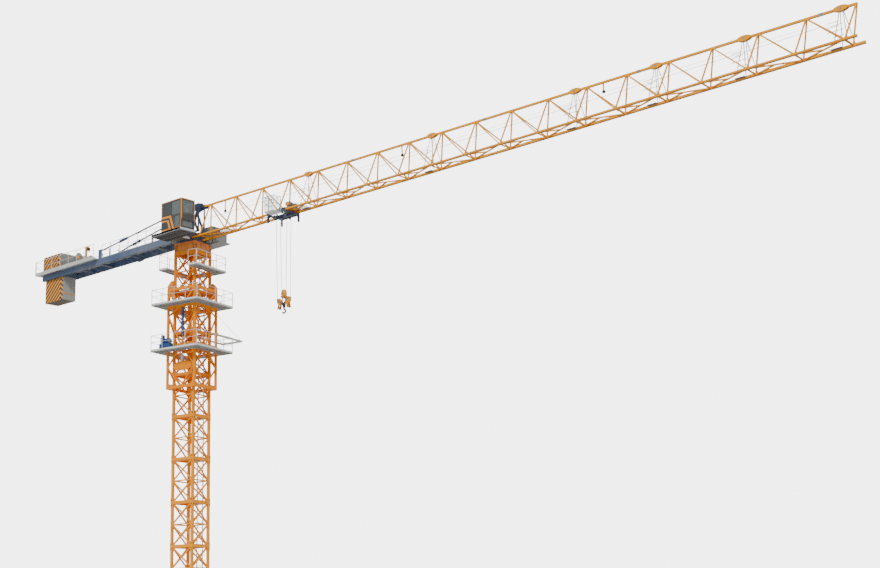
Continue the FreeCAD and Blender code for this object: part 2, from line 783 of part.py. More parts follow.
def stays():
    """Two tie bars from the head back to the lugs on the counter-jib."""
    width = value("stay_width")
    top = FreeCAD.Vector(value("stay_pin_x"), 0,
                         value("jib_level") + value("head_top") - 1.2 * value("head_pin_radius"))
    low = FreeCAD.Vector(-value("stay_lug_x"), 0, value("girder_top") + value("stay_lug_height") - width)
    bars = []
    for side in (-1, 1):
        first = top + NORTH * side * (value("head_gap") / 2 + 2 * value("head_plate") + value("seat_gap") + width / 4)
        last = low + NORTH * side * (value("girder_offset") - value("seat_gap") - width / 4)
        first.z, last.z = top.z, low.z
        tie = bar(first, last, width, width / 2, NORTH)
        middle = first + (last - first) * value("stay_link_share")
        along = (last - first).normalize() * value("stay_link") / 2
        lump = bar(middle - along, middle + along, width * 2, width / 2, NORTH)
        bars.append(fused([tie, lump]))
    node("stays", solid_feature("stays", Part.makeCompound(bars)))


def cab():
    """The driver's cab: floor, roof and walls with window holes, its front leaning in at the bottom."""
    back, side = "cab_back", "-cab_side"
    front = "cab_back + cab_length"
    high = "jib_level + cab_height"
    points = [(back, "jib_level"), (front + " - cab_lean", "jib_level"),
              (front, "jib_level + 0.3 * cab_height"),
              (front, high), (back, high)]
    shell = outline_pad("cab", "XZ_Plane", points, "cab_side - cab_width", "cab_side")
    wall = "cab_wall"
    inner = [(back + " + " + wall, "jib_level + " + wall),
             (front + " - cab_lean - " + wall, "jib_level + " + wall),
             (front + " - " + wall, "jib_level + 0.3 * cab_height + " + wall),
             (front + " - " + wall, high + " - " + wall),
             (back + " + " + wall, high + " - " + wall)]
    room = outline_pad("room", "XZ_Plane", inner, "cab_side - cab_width + " + wall, "cab_side - " + wall)
    openings = cab_openings()
    node("cab_shell", cut(shell, joined([room] + [hole for hole, _ in openings])))
    node("cab_windows", together([pane for _, pane in openings]))


def cab_openings():
    """Each window hole of the cab with the pane that fills it."""
    front = "cab_back + cab_length"
    wall = "cab_wall"
    side_low, side_high = "-cab_side", "-(cab_side - cab_width)"
    openings = []

    def window(x_span, y_span, z_span, thin_axis):
        hole = box(x_span, y_span, z_span)
        spans = [list(x_span), list(y_span), list(z_span)]
        for axis, span in enumerate(spans):
            low, high = span
            if axis == thin_axis:
                middle = "((%s) + (%s)) / 2" % (low, high)
                spans[axis] = (middle + " - pane_thickness / 2", middle + " + pane_thickness / 2")
            else:
                spans[axis] = (low + " + seat_gap", high + " - seat_gap")
        openings.append((hole, box(*spans)))

    upper_z = ("jib_level + cab_sill", "jib_level + cab_height - cab_rail")
    lower_z = ("jib_level + 1.2 * cab_rail", "jib_level + cab_sill - cab_rail")
    for x_span, z_span in ((("cab_back + 0.5 * cab_length", front + " - 1.6 * " + wall), upper_z),
                           (("cab_back + 0.64 * cab_length", front + " - 3 * " + wall), lower_z)):
        window(x_span, (side_low + " - 1", side_low + " + " + wall + " + 1"), z_span, 1)
        window(x_span, (side_high + " - " + wall + " - 1", side_high + " + 1"), z_span, 1)
    front_y = (side_low + " + 1.6 * " + wall, side_high + " - 1.6 * " + wall)
    window((front + " - " + wall + " - 1", front + " + 1"), front_y, upper_z, 0)
    window((front + " - cab_lean - 1.1 * " + wall, front + " - 0.1 * " + wall), front_y, lower_z, 0)
    return openings


def cab_balcony():
    """The platform under the cab, with a neck back to the turntable's side."""
    levels = ("balcony_base", "balcony_top")
    deck = box(("balcony_back", "balcony_front"), ("-balcony_side", "-(cab_side - cab_width - balcony_lip)"),
               levels)
    neck = box(("balcony_back", "turntable_front"),
               ("-(cab_side - cab_width)", "-(turntable_width / 2 + seat_gap)"), levels)
    node("cab_balcony", joined([deck, neck]))


def switch_cabinets():
    """Electrical cabinets on a low shelf beside the slewing ring, hung from a bracket on the turntable."""
    side = "turntable_width / 2 + seat_gap"
    near = "bearing_radius + clear_gap"
    far = side + " + cabinet_width"
    low = "jib_level - cabinet_drop"
    top = low + " + cabinet_shelf"
    hook = "jib_level + turntable_top / 2"
    start = "cabinet_back - 60"
    shelf = box((start, "cabinet_back + cabinet_length + 45"), (near, far + " + 100"), (low, top))
    hanger = box((start, "turntable_front"), (near, near + " + cabinet_shelf"), (low, hook))
    bridge = box((start, "turntable_front"), (side, near + " + cabinet_shelf"),
                 ("turntable_base + bearing_height + clear_gap", hook))
    tall = box(("cabinet_back", "cabinet_back + 0.61 * cabinet_length"), (near, far),
               (low, top + " + cabinet_height"))
    short = box(("cabinet_back + 0.65 * cabinet_length", "cabinet_back + cabinet_length"),
                (near + " + 40", far), (low, top + " + 0.5 * cabinet_height"))
    node("switch_cabinets", joined([shelf, hanger, bridge, tall, short]))


# ---------------------------------------------------------------- jib

def top_node(index):
    x_mid = value("jib_first") + index * value("jib_bay")
    return FreeCAD.Vector(x_mid, 0, value("jib_level") + value("jib_rise") - value("jib_taper") * x_mid)


def bottom_node(index):
    x_mid = value("jib_first") - value("jib_lead") + index * value("jib_bay")
    return FreeCAD.Vector(x_mid, 0, value("jib_level"))


def top_chord_shape():
    start_x = value("head_pin_x") + value("head_pin_radius") + value("seat_gap")
    slope = FreeCAD.Vector(1, 0, -value("jib_taper"))
    first = top_node(0)
    start = first - slope * (first.x - start_x)
    end = first + slope * (value("jib_end") - first.x)
    return bar(start, end, value("chord_width"), value("chord_width"), NORTH)


def jib_top_chord():
    node("jib_top_chord", solid_feature("jib_top_chord", top_chord_shape()))


def jib_side(side):
    """A bottom chord with its trolley track, and the zigzag lacing from it up to the top chord."""
    half, chord, thin = value("jib_half"), value("chord_width"), value("lacing_width")
    start, end = value("turntable_front") + value("seat_gap"), value("jib_end")
    level = value("jib_level")
    low_y, high_y = side * half, side * value("lacing_top_offset")
    across = FreeCAD.Vector(0, value("jib_rise"), side * (half - value("lacing_top_offset")))
    bars = []
    for index in range(int(value("jib_bays")) + 1):
        upper = top_node(index) + NORTH * high_y
        bars.append(bar(bottom_node(index) + NORTH * low_y, upper, thin, thin, across))
        if index < int(value("jib_bays")):
            bars.append(bar(upper, bottom_node(index + 1) + NORTH * low_y, thin, thin, across))
    lacing = fused(bars).cut(top_chord_shape())
    lacing = lacing.common(block_shape(start, end, -half * 2, half * 2, level - chord / 2,
                                       level + 2 * value("jib_rise")))
    beam = block_shape(start, end, low_y - chord / 2, low_y + chord / 2, level - chord / 2, level + chord / 2)
    edge = half + chord / 2
    track_y = sorted((side * edge, side * (edge + value("track_width"))))
    track = block_shape(start, end, *track_y, level - chord / 2, level - chord / 2 + value("track_height"))
    return fused([lacing, beam, track])


def jib_bottom():
    """Cross bars and diagonals between the bottom chords."""
    half, chord, thin = value("jib_half"), value("chord_width"), value("lacing_width")
    bars = []
    for index in range(int(value("jib_bays")) + 1):
        here = bottom_node(index)
        bars.append(bar(here - NORTH * half, here + NORTH * half, thin, thin, UP))
        if index < int(value("jib_bays")):
            side = 1 if index % 2 else -1
            there = bottom_node(index + 1)
            bars.append(bar(here + NORTH * side * half, there - NORTH * side * half, thin, thin, UP))
            bars.append(bar(here - NORTH * side * half, (here + there) * 0.5, thin, thin, UP))
    gap = half - chord / 2
    level = value("jib_level")
    clear = block_shape(value("turntable_front"), value("jib_end"), -gap, gap, level - chord, level + chord)
    node("jib_bottom", solid_feature("jib_bottom", fused(bars).common(clear)))


def jib():
    jib_top_chord()
    node("jib_near_side", solid_feature("jib_near_side", jib_side(-1)))
    node("jib_far_side", solid_feature("jib_far_side", jib_side(1)))
    jib_bottom()


# ---------------------------------------------------------------- counter-jib

def counter_jib_frame():
    """Two girders joined by cross members, with a lug on each for the stays."""
    pieces = []
    start = "-counter_reach"
    end = "-(turntable_back + seat_gap)"
    for side in ("-1", "1"):
        low, high = ("girder_inner", "girder_outer") if side == "1" else ("-girder_outer", "-girder_inner")
        pieces.append(box((start, end), (low, high), ("girder_bottom", "girder_top")))
        lug_side = ("girder_offset", "girder_outer") if side == "1" else ("-girder_outer", "-girder_offset")
        pieces.append(box(("-stay_lug_x - stay_lug_length / 2", "-stay_lug_x + stay_lug_length / 2"),
                          lug_side,
                          ("girder_top - 20", "girder_top + stay_lug_height")))
    for middle in ("-(turntable_back + cross_width)", "-0.35 * deck_front", "-0.65 * deck_front",
                   "-deck_front",
                   "-(deck_front + weight_front) / 2", "-(weight_front - cross_width)",
                   "-(counter_reach - cross_width / 2)"):
        pieces.append(box((middle + " - cross_width / 2", middle + " + cross_width / 2"),
                          ("-girder_inner - 5", "girder_inner + 5"),
                          ("girder_bottom + 20", "girder_bottom + 20 + cross_width")))
    node("counter_jib_frame", joined(pieces))


def counter_jib_deck():
    """The narrow walkway and the wide rear deck, open round the counterweight."""
    low, high = "girder_top", "counter_deck_top"
    walkway = box(("-deck_front + deck_gap", "-(turntable_back + 20)"), ("-walkway_half", "walkway_half"),
                  (low, high))
    deck = box(("-deck_back", "-deck_front"), ("-deck_half", "deck_half"), (low, high))
    slot = box(("-weight_back - 20", "-weight_front + 20"),
               ("-weight_head_half - 20", "weight_head_half + 20"),
               ("girder_top - 1", "counter_deck_top + 1"))
    node("counter_jib_deck", together([walkway, cut(deck, slot)]))


def counter_jib_rails():
    """Railings down both sides of the counter-jib and across its rear end."""
    thick, gap = value("rail_bar"), value("seat_gap")
    top = value("counter_deck_top")
    fascia = value("fascia_height")
    deep = value("counter_deck") + 25
    panels = []
    length = value("deck_back") - value("deck_front")
    for side in (-1, 1):
        panel = rail_panel(length, fascia - deep)
        board = block_shape(0, length, -thick / 4, thick / 4, -deep, fascia - deep)
        panel = fused([panel, board])
        panel.translate(FreeCAD.Vector(-value("deck_back"), side * (value("deck_half") + gap + thick / 2),
                                       top))
        panels.append(panel)
        walk_start = thick - value("stay_lug_x") + value("stay_lug_length") / 2
        walk = rail_panel(-walk_start - value("turntable_back") - 600, value("toe_board"))
        walk.translate(FreeCAD.Vector(walk_start, side * (value("girder_outer") - thick / 2),
                                      value("girder_top")))
        panels.append(walk)
    back = rail_panel(2 * value("deck_half") - thick, value("toe_board"))
    back = turned(back, 90)
    back.translate(FreeCAD.Vector(-value("deck_back") + thick / 2, -value("deck_half") + thick / 2, top))
    panels.append(back)
    node("counter_jib_rails", solid_feature("counter_jib_rails", Part.makeCompound(panels)))


def counterweight():
    """Concrete slabs that hang between the girders by their wide heads."""
    slabs = []
    for start, end in (("-weight_back", "-(weight_front + weight_band + weight_gap)"),
                       ("-(weight_front + weight_band)", "-weight_front")):
        body = box((start, end), ("-weight_half", "weight_half"),
                   ("jib_level - weight_drop", "girder_top + 1"))
        head = box((start, end), ("-weight_head_half", "weight_head_half"),
                   ("girder_top + seat_gap", "jib_level + weight_rise"))
        slabs.append(joined([body, head]))
    node("counterweight", together(slabs))


def hoist_winch():
    """The rope drum between two cheeks, with its gearbox and motor."""
    floor = "counter_deck_top"
    back = "-winch_back"
    bed = box((back, back + " + winch_length"), ("-winch_half", "winch_half"), (floor, floor + " + 60"))
    axle_level = floor + " + 60 + 1.25 * drum_radius"
    axle_x = back + " + 0.68 * winch_length"
    drum = rod((axle_x, "-winch_half + 30", axle_level), "0.8 * drum_radius", "2 * winch_half - 60", NORTH)
    cheeks = [rod((axle_x, text, axle_level), "drum_radius * 1.2", "30", NORTH)
              for text in ("-winch_half + 20", "winch_half - 50")]
    stands = [box((axle_x + " - 60", axle_x + " + 60"), (text, text + " + 20"), (floor + " + 50", axle_level))
              for text in ("-winch_half", "winch_half - 20")]
    gearbox = box((back + " + 40", back + " + 0.42 * winch_length"), ("-winch_half + 20", "winch_half * 0.3"),
                  (floor + " + 50", floor + " + 400"))
    motor = rod((back + " + 0.2 * winch_length", "0", floor + " + 220"), "110", "winch_half - 10", NORTH)
    node("hoist_winch", joined([bed, drum] + cheeks + stands + [gearbox, motor]))


# ---------------------------------------------------------------- trolley and hook

def trolley_frame():
    """A frame under the jib, hung on wheels that roll on the tracks of the bottom chords."""
    pieces = []
    low_beam = "jib_level - chord_half - clear_gap - trolley_beam"
    for side in (-1, 1):
        low, high = ("trolley_half - trolley_plate", "trolley_half") if side == 1 else \
            ("-trolley_half", "-(trolley_half - trolley_plate)")
        pieces.append(box(("trolley_back", "trolley_front"), (low, high),
                          (low_beam, "track_top + 2.2 * wheel_radius")))
        wheel_low = "track_outer - 5 - wheel_width" if side == 1 else "-(track_outer - 5)"
        for end in ("trolley_back + 1.6 * wheel_radius", "trolley_front - 1.6 * wheel_radius"):
            level = "track_top + wheel_radius + wheel_gap"
            pieces.append(rod((end, wheel_low, level), "wheel_radius", "wheel_width", NORTH))
            stub = "track_outer - 6" if side == 1 else "-(trolley_half - 1)"
            pieces.append(rod((end, stub, level), "wheel_radius * 0.4", "trolley_half - track_outer + 5",
                              NORTH))
    ends = [("trolley_back", "trolley_back + trolley_post"),
            ("trolley_front - trolley_post", "trolley_front")]
    middles = [("trolley_x - rope_outer - 45", "trolley_x - rope_inner + 45"),
               ("trolley_x + rope_inner - 45", "trolley_x + rope_outer + 45")]
    for span in ends:
        pieces.append(box(span, ("-trolley_half", "trolley_half"), (low_beam, low_beam + " + trolley_beam")))
        for low in ("-trolley_half", "trolley_half - trolley_post"):
            pieces.append(box(span, (low, low + " + trolley_post"),
                              ("jib_level - trolley_post_bottom", low_beam + " + 10")))
    for span in middles:
        pieces.append(box(span, ("-35", "35"), ("rope_start + seat_gap", low_beam + " + trolley_beam")))
    for low in ("-50", "35"):
        pieces.append(box(("trolley_back", "trolley_front"), (low, low + " + 15"),
                          ("rope_start + 20", low_beam + " + trolley_beam")))
    node("trolley_frame", joined(pieces))


def trolley_winch():
    """The small rope winch that pulls the trolley: a drum across the jib, on a bed over the bottom chords."""
    floor = "jib_level + chord_half + seat_gap"
    start = "trolley_winch_x - trolley_winch_length / 2"
    end = "trolley_winch_x + trolley_winch_length / 2"
    reach = "trolley_winch_width / 2"
    axle = floor + " + trolley_winch_bed + 1.15 * trolley_drum_radius"
    bed = box((start, end), ("-(jib_half + chord_half)", "jib_half + chord_half"),
              (floor, floor + " + trolley_winch_bed"))
    core = rod(("trolley_winch_x", "-(%s)" % reach, axle), "0.75 * trolley_drum_radius",
               "trolley_winch_width", NORTH)
    parts = [bed, core]
    for place in ("-(%s)" % reach, reach + " - 25", "-(%s) + 60" % reach):
        parts.append(rod(("trolley_winch_x", place, axle), "trolley_drum_radius", "25", NORTH))
        parts.append(box(("trolley_winch_x - 60", "trolley_winch_x + 60"), (place, "(%s) + 25" % place),
                         (floor + " + 10", axle)))
    node("trolley_winch", joined(parts))


def trolley_basket():
    """The maintenance basket at the trolley's rear, outside the near chord."""
    length, height = value("basket_length"), value("basket_height")
    start = value("trolley_back") + value("basket_offset")
    inner = -(value("trolley_half") + value("seat_gap"))
    depth = value("basket_depth")
    floor = value("jib_level") - value("chord_half") - value("clear_gap") - value("trolley_beam")
    plate = block_shape(start, start + length, inner - depth, inner, floor, floor + 25)
    thick = value("rail_bar")
    front = flat_cage(length, height, thick)
    front.translate(FreeCAD.Vector(start, inner - depth + thick / 2, floor + 20))
    sides = []
    for x_mid in (start + thick / 2, start + length - thick / 2):
        side = turned(flat_cage(depth, height, thick), 90)
        side.translate(FreeCAD.Vector(x_mid, inner - depth, floor + 20))
        sides.append(side)
    node("trolley_basket", solid_feature("trolley_basket", fused([plate, front] + sides)))


def flat_cage(length, height, thick):
    bars = []
    for share in (0.0, 0.5, 1.0):
        level = thick / 2 + share * (height - thick)
        bars.append(flat_bar((0, level), (length, level), thick, thick))
    for share in (0.0, 0.5, 1.0):
        x_mid = thick / 2 + share * (length - thick)
        bars.append(flat_bar((x_mid, 0), (x_mid, height), thick, thick))
    return fused(bars)


def fall(side, top_reach, low_reach, sheave_x, sheave_level, sheave_radius):
    """One fall of rope from the trolley down to the rim of a sheave housing."""
    radius = value("rope_radius")
    inside = abs(low_reach - sheave_x) - radius
    foot_level = sheave_level + math.sqrt(sheave_radius ** 2 - inside ** 2) + value("seat_gap")
    foot = FreeCAD.Vector(value("trolley_x") + side * low_reach, 0, foot_level)
    top = FreeCAD.Vector(value("trolley_x") + side * top_reach, 0, value("rope_start"))
    line = top - foot
    bounds = block_shape(foot.x - 3 * abs(line.x) - 99, foot.x + 3 * abs(line.x) + 99, -radius, radius,
                         foot.z, top.z)
    whole = Part.makeCylinder(radius, line.Length * 1.02, foot - line * 0.01, line)
    return whole.common(bounds)


def hoist_ropes():
    """Four taut falls of wire rope between the trolley and the hook block."""
    falls = []
    for side in (-1, 1):
        falls.append(fall(side, value("rope_outer"), value("rope_outer_low"), value("block_side_x"),
                          value("side_sheave_level"), value("block_side_radius")))
        falls.append(fall(side, value("rope_inner"), value("rope_inner_low"), 0,
                          value("block_level"), value("block_sheave_radius")))
    node("hoist_ropes", solid_feature("hoist_ropes", Part.makeCompound(falls)))


def hook_block():
    """Three sheave housings on a plate frame: one above the middle and one at each side."""
    middle = "-block_width / 2"
    pieces = []
    pieces.append(rod(("trolley_x", middle, "block_level"), "block_sheave_radius", "block_width", NORTH))
    for side in ("-", "+"):
        centre = "trolley_x %s block_side_x" % side
        pieces.append(rod((centre, middle, "side_sheave_level"), "block_side_radius", "block_width", NORTH))
    plate = box(("trolley_x - block_side_x", "trolley_x + block_side_x"),
                ("-block_plate / 2", "block_plate / 2"),
                ("side_sheave_level - 40", "block_level"))
    cross = box(("trolley_x - 70", "trolley_x + 70"), (middle, "block_width / 2"),
                ("swivel_level", "side_sheave_level + 40"))
    node("hook_block", joined(pieces + [plate, cross]))


def hook():
    """The swivel hook: a neck in the block's crosshead and a round bar bent into a hook."""
    x_mid, top = value("trolley_x"), value("swivel_level") - value("seat_gap")
    bottom = value("jib_level") - value("block_top") - value("hook_drop")
    thick, bend = value("hook_bar"), value("hook_radius")
    centre = FreeCAD.Vector(x_mid, 0, bottom + thick + bend)
    start = FreeCAD.Vector(x_mid, 0, top)

    def on_ring(degrees):
        angle = math.radians(degrees)
        return centre + FreeCAD.Vector(math.cos(angle), 0, math.sin(angle)) * bend

    neck = Part.makeCylinder(value("hook_neck"), start.z - centre.z - bend + thick,
                             centre + UP * (bend - thick), UP)
    collar = Part.makeCylinder(value("hook_neck") * 1.7, 50, FreeCAD.Vector(x_mid, 0, start.z - 50), UP)
    arc = Part.Edge(Part.Arc(on_ring(90), on_ring(-45), on_ring(-170)))
    profile = Part.Wire(Part.Edge(Part.Circle(on_ring(90), EAST, thick)))
    curl = Part.Wire(arc).makePipeShell([profile], True, True)
    node("hook", solid_feature("hook", fused([neck, collar, curl])))


# ---------------------------------------------------------------- build, check and write

def build():
    base_frame()
    mast_sides()
    mast_ladder()
    landings()
    slewing_seat()
    ring_deck("mast_platform", "mast_deck_level", "mast_outer", "mast_deck_half", "mast_deck_opening")
    ring_rails("mast_platform_rails", "mast_deck_level", "mast_deck_half", value("mast_deck_opening"), FRONT_SIDE)
    cage_sides()
    jack()
    jack_yoke()
    for label, level, gate in (("upper_platform", "upper_deck_level", 0),
                               ("lower_platform", "lower_deck_level", 560)):
        ring_deck(label, level, "cage_outer", "cage_deck_half")
        ring_rails(label + "_rails", level, "cage_deck_half", gate)
    power_pack()
    loading_rails()
    turntable()
    tower_head()
    stays()
    cab()
    cab_balcony()
    switch_cabinets()
    jib()
    counter_jib_frame()
    counter_jib_deck()
    counter_jib_rails()
    counterweight()
    hoist_winch()
    trolley_frame()
    trolley_winch()
    trolley_basket()
    hoist_ropes()
    hook_block()
    hook()


def check():
    for item in doc.Objects:
        if "Invalid" in item.State or "Error" in item.State:
            raise RuntimeError("%s failed: %s" % (item.Label, item.State))
    for item in NODES:
        if item.Shape.isNull() or not item.Shape.isValid() or not item.Shape.Solids:
            raise RuntimeError("%s has no valid shape" % item.Label)


def write():
    os.makedirs("parts", exist_ok=True)
    for item in NODES:
        item.Shape.exportStep("parts/%s.step" % item.Label)


build()
doc.recompute()
check()
write()
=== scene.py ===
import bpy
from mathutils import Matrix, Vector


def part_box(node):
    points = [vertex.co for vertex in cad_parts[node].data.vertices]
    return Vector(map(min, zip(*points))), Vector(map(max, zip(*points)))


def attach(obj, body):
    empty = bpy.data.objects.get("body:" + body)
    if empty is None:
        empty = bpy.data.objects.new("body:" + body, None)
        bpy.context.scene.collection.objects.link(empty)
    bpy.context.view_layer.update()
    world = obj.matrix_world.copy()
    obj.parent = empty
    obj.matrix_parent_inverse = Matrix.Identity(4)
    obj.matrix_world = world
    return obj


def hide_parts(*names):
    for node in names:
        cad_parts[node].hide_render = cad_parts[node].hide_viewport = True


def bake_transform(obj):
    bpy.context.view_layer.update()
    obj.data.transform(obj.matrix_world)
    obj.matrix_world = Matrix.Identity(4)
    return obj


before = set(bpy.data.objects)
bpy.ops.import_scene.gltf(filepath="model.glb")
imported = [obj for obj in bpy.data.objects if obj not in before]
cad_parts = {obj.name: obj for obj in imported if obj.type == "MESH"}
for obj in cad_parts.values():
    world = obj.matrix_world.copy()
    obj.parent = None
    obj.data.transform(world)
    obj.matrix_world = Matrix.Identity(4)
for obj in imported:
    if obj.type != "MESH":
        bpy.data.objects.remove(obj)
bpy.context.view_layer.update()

import math

import bpy
import numpy as np
from mathutils import Matrix, Vector

# ---------------------------------------------------------------- view, floor and light
# A person standing on the ground looks up at the crane from well out beside the jib.
# The floor is plain and pale; the light is a bright overcast sky with a weak sun.

EYE = Vector((34.375, -29.125, 0.81))
HEADING, TILT, ROLL = (math.radians(angle) for angle in (39.22, 14.0, -1.992))
ahead = Vector((-math.sin(HEADING) * math.cos(TILT), math.cos(HEADING) * math.cos(TILT), math.sin(TILT)))
level_right = Vector((math.cos(HEADING), math.sin(HEADING), 0.0))
level_up = level_right.cross(ahead)
right = level_right * math.cos(ROLL) + level_up * math.sin(ROLL)
above = level_up * math.cos(ROLL) - level_right * math.sin(ROLL)

eye_data = bpy.data.cameras.new("eye")
eye_data.lens = 56.29
eye_data.sensor_width = 36.0
eye_data.clip_end = 400.0
eye = bpy.data.objects.new("eye", eye_data)
eye.matrix_world = Matrix.Translation(EYE) @ Matrix((right, above, -ahead)).transposed().to_4x4()
bpy.context.scene.collection.objects.link(eye)
bpy.context.scene.camera = eye

world = bpy.data.worlds.new("overcast")
bpy.context.scene.world = world
world.use_nodes = True
sky_nodes, sky_links = world.node_tree.nodes, world.node_tree.links
sky_nodes.clear()
sky_glow = sky_nodes.new("ShaderNodeBackground")
sky_glow.inputs["Color"].default_value = (0.93, 0.96, 1.0, 1.0)
sky_glow.inputs["Strength"].default_value = 0.62
plain_white = sky_nodes.new("ShaderNodeBackground")
plain_white.inputs["Color"].default_value = (1.0, 1.0, 1.0, 1.0)
plain_white.inputs["Strength"].default_value = 5.0
seen_directly = sky_nodes.new("ShaderNodeLightPath")
sky_choice = sky_nodes.new("ShaderNodeMixShader")
sky_out = sky_nodes.new("ShaderNodeOutputWorld")
sky_links.new(seen_directly.outputs["Is Camera Ray"], sky_choice.inputs["Fac"])
sky_links.new(sky_glow.outputs["Background"], sky_choice.inputs[1])
sky_links.new(plain_white.outputs["Background"], sky_choice.inputs[2])
sky_links.new(sky_choice.outputs["Shader"], sky_out.inputs["Surface"])

sun_data = bpy.data.lights.new("weak_sun", "SUN")
sun_data.energy = 2.3
sun_data.angle = math.radians(9)
sun_data.color = (1.0, 0.96, 0.88)
sun = bpy.data.objects.new("weak_sun", sun_data)
sun.matrix_world = Vector((0.55, -0.75, 0.75)).to_track_quat("Z", "Y").to_matrix().to_4x4()
bpy.context.scene.collection.objects.link(sun)

floor_mesh = bpy.data.meshes.new("floor")
floor_mesh.from_pydata([(-120, -120, 0), (120, -120, 0), (120, 120, 0), (-120, 120, 0)], [], [(0, 1, 2, 3)])
floor = bpy.data.objects.new("floor", floor_mesh)
bpy.context.scene.collection.objects.link(floor)
floor_paint = bpy.data.materials.new("pale_floor")
floor_paint.use_nodes = True
floor_paint.node_tree.nodes["Principled BSDF"].inputs["Base Color"].default_value = (0.82, 0.82, 0.81, 1)
floor_paint.node_tree.nodes["Principled BSDF"].inputs["Roughness"].default_value = 0.9
floor_mesh.materials.append(floor_paint)

# ---------------------------------------------------------------- base frame
# Two crossed beams welded from plate, with a foot plate at each end. Ribs stiffen the beams
# under the legs, and threaded anchors with double nuts hold the feet to the foundation.

MAST_TURN = math.radians(10.84)


def on_mast(points, extra=0.0):
    """Points turned about the slewing axis by the mast's own turn, plus an extra angle."""
    angle = MAST_TURN + extra
    turn = np.array([[math.cos(angle), -math.sin(angle), 0], [math.sin(angle), math.cos(angle), 0],
                     [0, 0, 1]])
    return np.asarray(points, float) @ turn.T


def stock(profile, starts, ends, across):
    """Straight bars of one cross-section.

    The profile's points (side, across) are carried from each start to its end; side is the
    direction square to both the bar and the across direction. Both ends are closed."""
    rows = (np.atleast_2d(np.asarray(value, float)) for value in (starts, ends, across))
    starts, ends, across = np.broadcast_arrays(*rows)
    along = ends - starts
    along = along / np.linalg.norm(along, axis=1, keepdims=True)
    side = np.cross(along, across)
    side = side / np.linalg.norm(side, axis=1, keepdims=True)
    up = np.cross(side, along)
    profile = np.asarray(profile, float)
    ring = profile[None, :, :1] * side[:, None, :] + profile[None, :, 1:] * up[:, None, :]
    points = np.concatenate([starts[:, None] + ring, ends[:, None] + ring], axis=1)
    count = len(profile)
    here = np.arange(count)
    after = (here + 1) % count
    first = (np.arange(len(starts)) * 2 * count)[:, None, None]
    walls = np.stack([after, here, here + count, after + count], axis=1)[None] + first
    caps = np.stack([here, here[::-1] + count])[None] + first
    return points.reshape(-1, 3), [walls.reshape(-1, 4), caps.reshape(-1, count)]


def turned(profile, centres, axes, sides=16):
    """Pieces turned on a lathe: the profile's points (radius, height) go round each axis.

    Each point of a ring is centre + height * axis + radius * (cos a, sin a) in the plane square
    to the axis. The first and last rings are closed."""
    centres, axes = np.broadcast_arrays(*(np.atleast_2d(np.asarray(a, float)) for a in (centres, axes)))
    axes = axes / np.linalg.norm(axes, axis=1, keepdims=True)
    helper = np.where(np.abs(axes[:, 2:]) > 0.9, [[1.0, 0.0, 0.0]], [[0.0, 0.0, 1.0]])
    first = np.cross(helper, axes)
    first = first / np.linalg.norm(first, axis=1, keepdims=True)
    second = np.cross(axes, first)
    angle = np.arange(sides) * 2 * math.pi / sides
    spoke = np.cos(angle)[None, :, None] * first[:, None] + np.sin(angle)[None, :, None] * second[:, None]
    profile = np.asarray(profile, float)
    rings = profile[None, :, None, :1] * spoke[:, None] + profile[None, :, None, 1:] * axes[:, None, None]
    points = (centres[:, None, None] + rings).reshape(-1, 3)
    steps, here = len(profile), np.arange(sides)
    after = (here + 1) % sides
    level = (np.arange(steps - 1) * sides)[:, None]
    walls = np.stack([level + here, level + after, level + sides + after, level + sides + here],
                     axis=2).reshape(-1, 4)
    caps = np.stack([here[::-1], here + (steps - 1) * sides])
    base = (np.arange(len(centres)) * steps * sides)[:, None, None]
    return points, [(walls[None] + base).reshape(-1, 4), (caps[None] + base).reshape(-1, sides)]


def mast_bar(profile, starts, ends, across=(0, 0, 1), extra=0.0):
    """Straight bars set out square to the mast and turned with it, plus an extra angle."""
    return stock(profile, *(on_mast(np.atleast_2d(a), extra) for a in (starts, ends, across)))


def mast_stud(profile, centre, axis, sides, extra=0.0):
    """A piece turned on a lathe, set out square to the mast and turned with it."""
    return turned(profile, on_mast([centre], extra), on_mast([axis], extra), sides)


def slab(width, depth, bevel=0.0):
    """A rectangle's outline about its centre, with its corners cut off by the bevel."""
    x, y, b = width / 2, depth / 2, bevel
    if not b:
        return np.array([(-x, -y), (x, -y), (x, y), (-x, y)])
    return np.array([(b - x, -y), (x - b, -y), (x, b - y), (x, y - b), (x - b, y), (b - x, y), (-x, y - b),
                     (-x, b - y)])


def disc(radius, sides=12):
    """A regular outline of so many sides about its centre."""
    angle = (np.arange(sides) + 0.5) * 2 * math.pi / sides
    return np.stack([np.cos(angle), np.sin(angle)], axis=1) * radius


def block(low, high, bevel=0.004):
    """A solid box between two corners, its long edges cut off by the bevel."""
    low, high = np.asarray(low, float), np.asarray(high, float)
    middle, size = (low + high) / 2, high - low
    start, end = middle.copy(), middle.copy()
    start[0], end[0] = low[0], high[0]
    return stock(slab(size[1], size[2], min(bevel, min(size[1:]) / 3)), start, end, (0, 0, 1))


def put(name, parts, material, body, sharp=35.0):
    """Join parts into one mesh, give it its material and make it ride on its body, if it has one."""
    points, faces, first = [], [], 0
    for part_points, part_faces in parts:
        points.append(part_points)
        for group in part_faces:
            faces.extend((group + first).tolist())
        first += len(part_points)
    mesh = bpy.data.meshes.new(name)
    mesh.from_pydata(np.concatenate(points).tolist(), [], faces)
    mesh.shade_smooth()
    mesh.set_sharp_from_angle(angle=math.radians(sharp))
    mesh.materials.append(material)
    piece = bpy.data.objects.new(name, mesh)
    bpy.context.scene.collection.objects.link(piece)
    if body:
        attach(piece, body)
    return piece


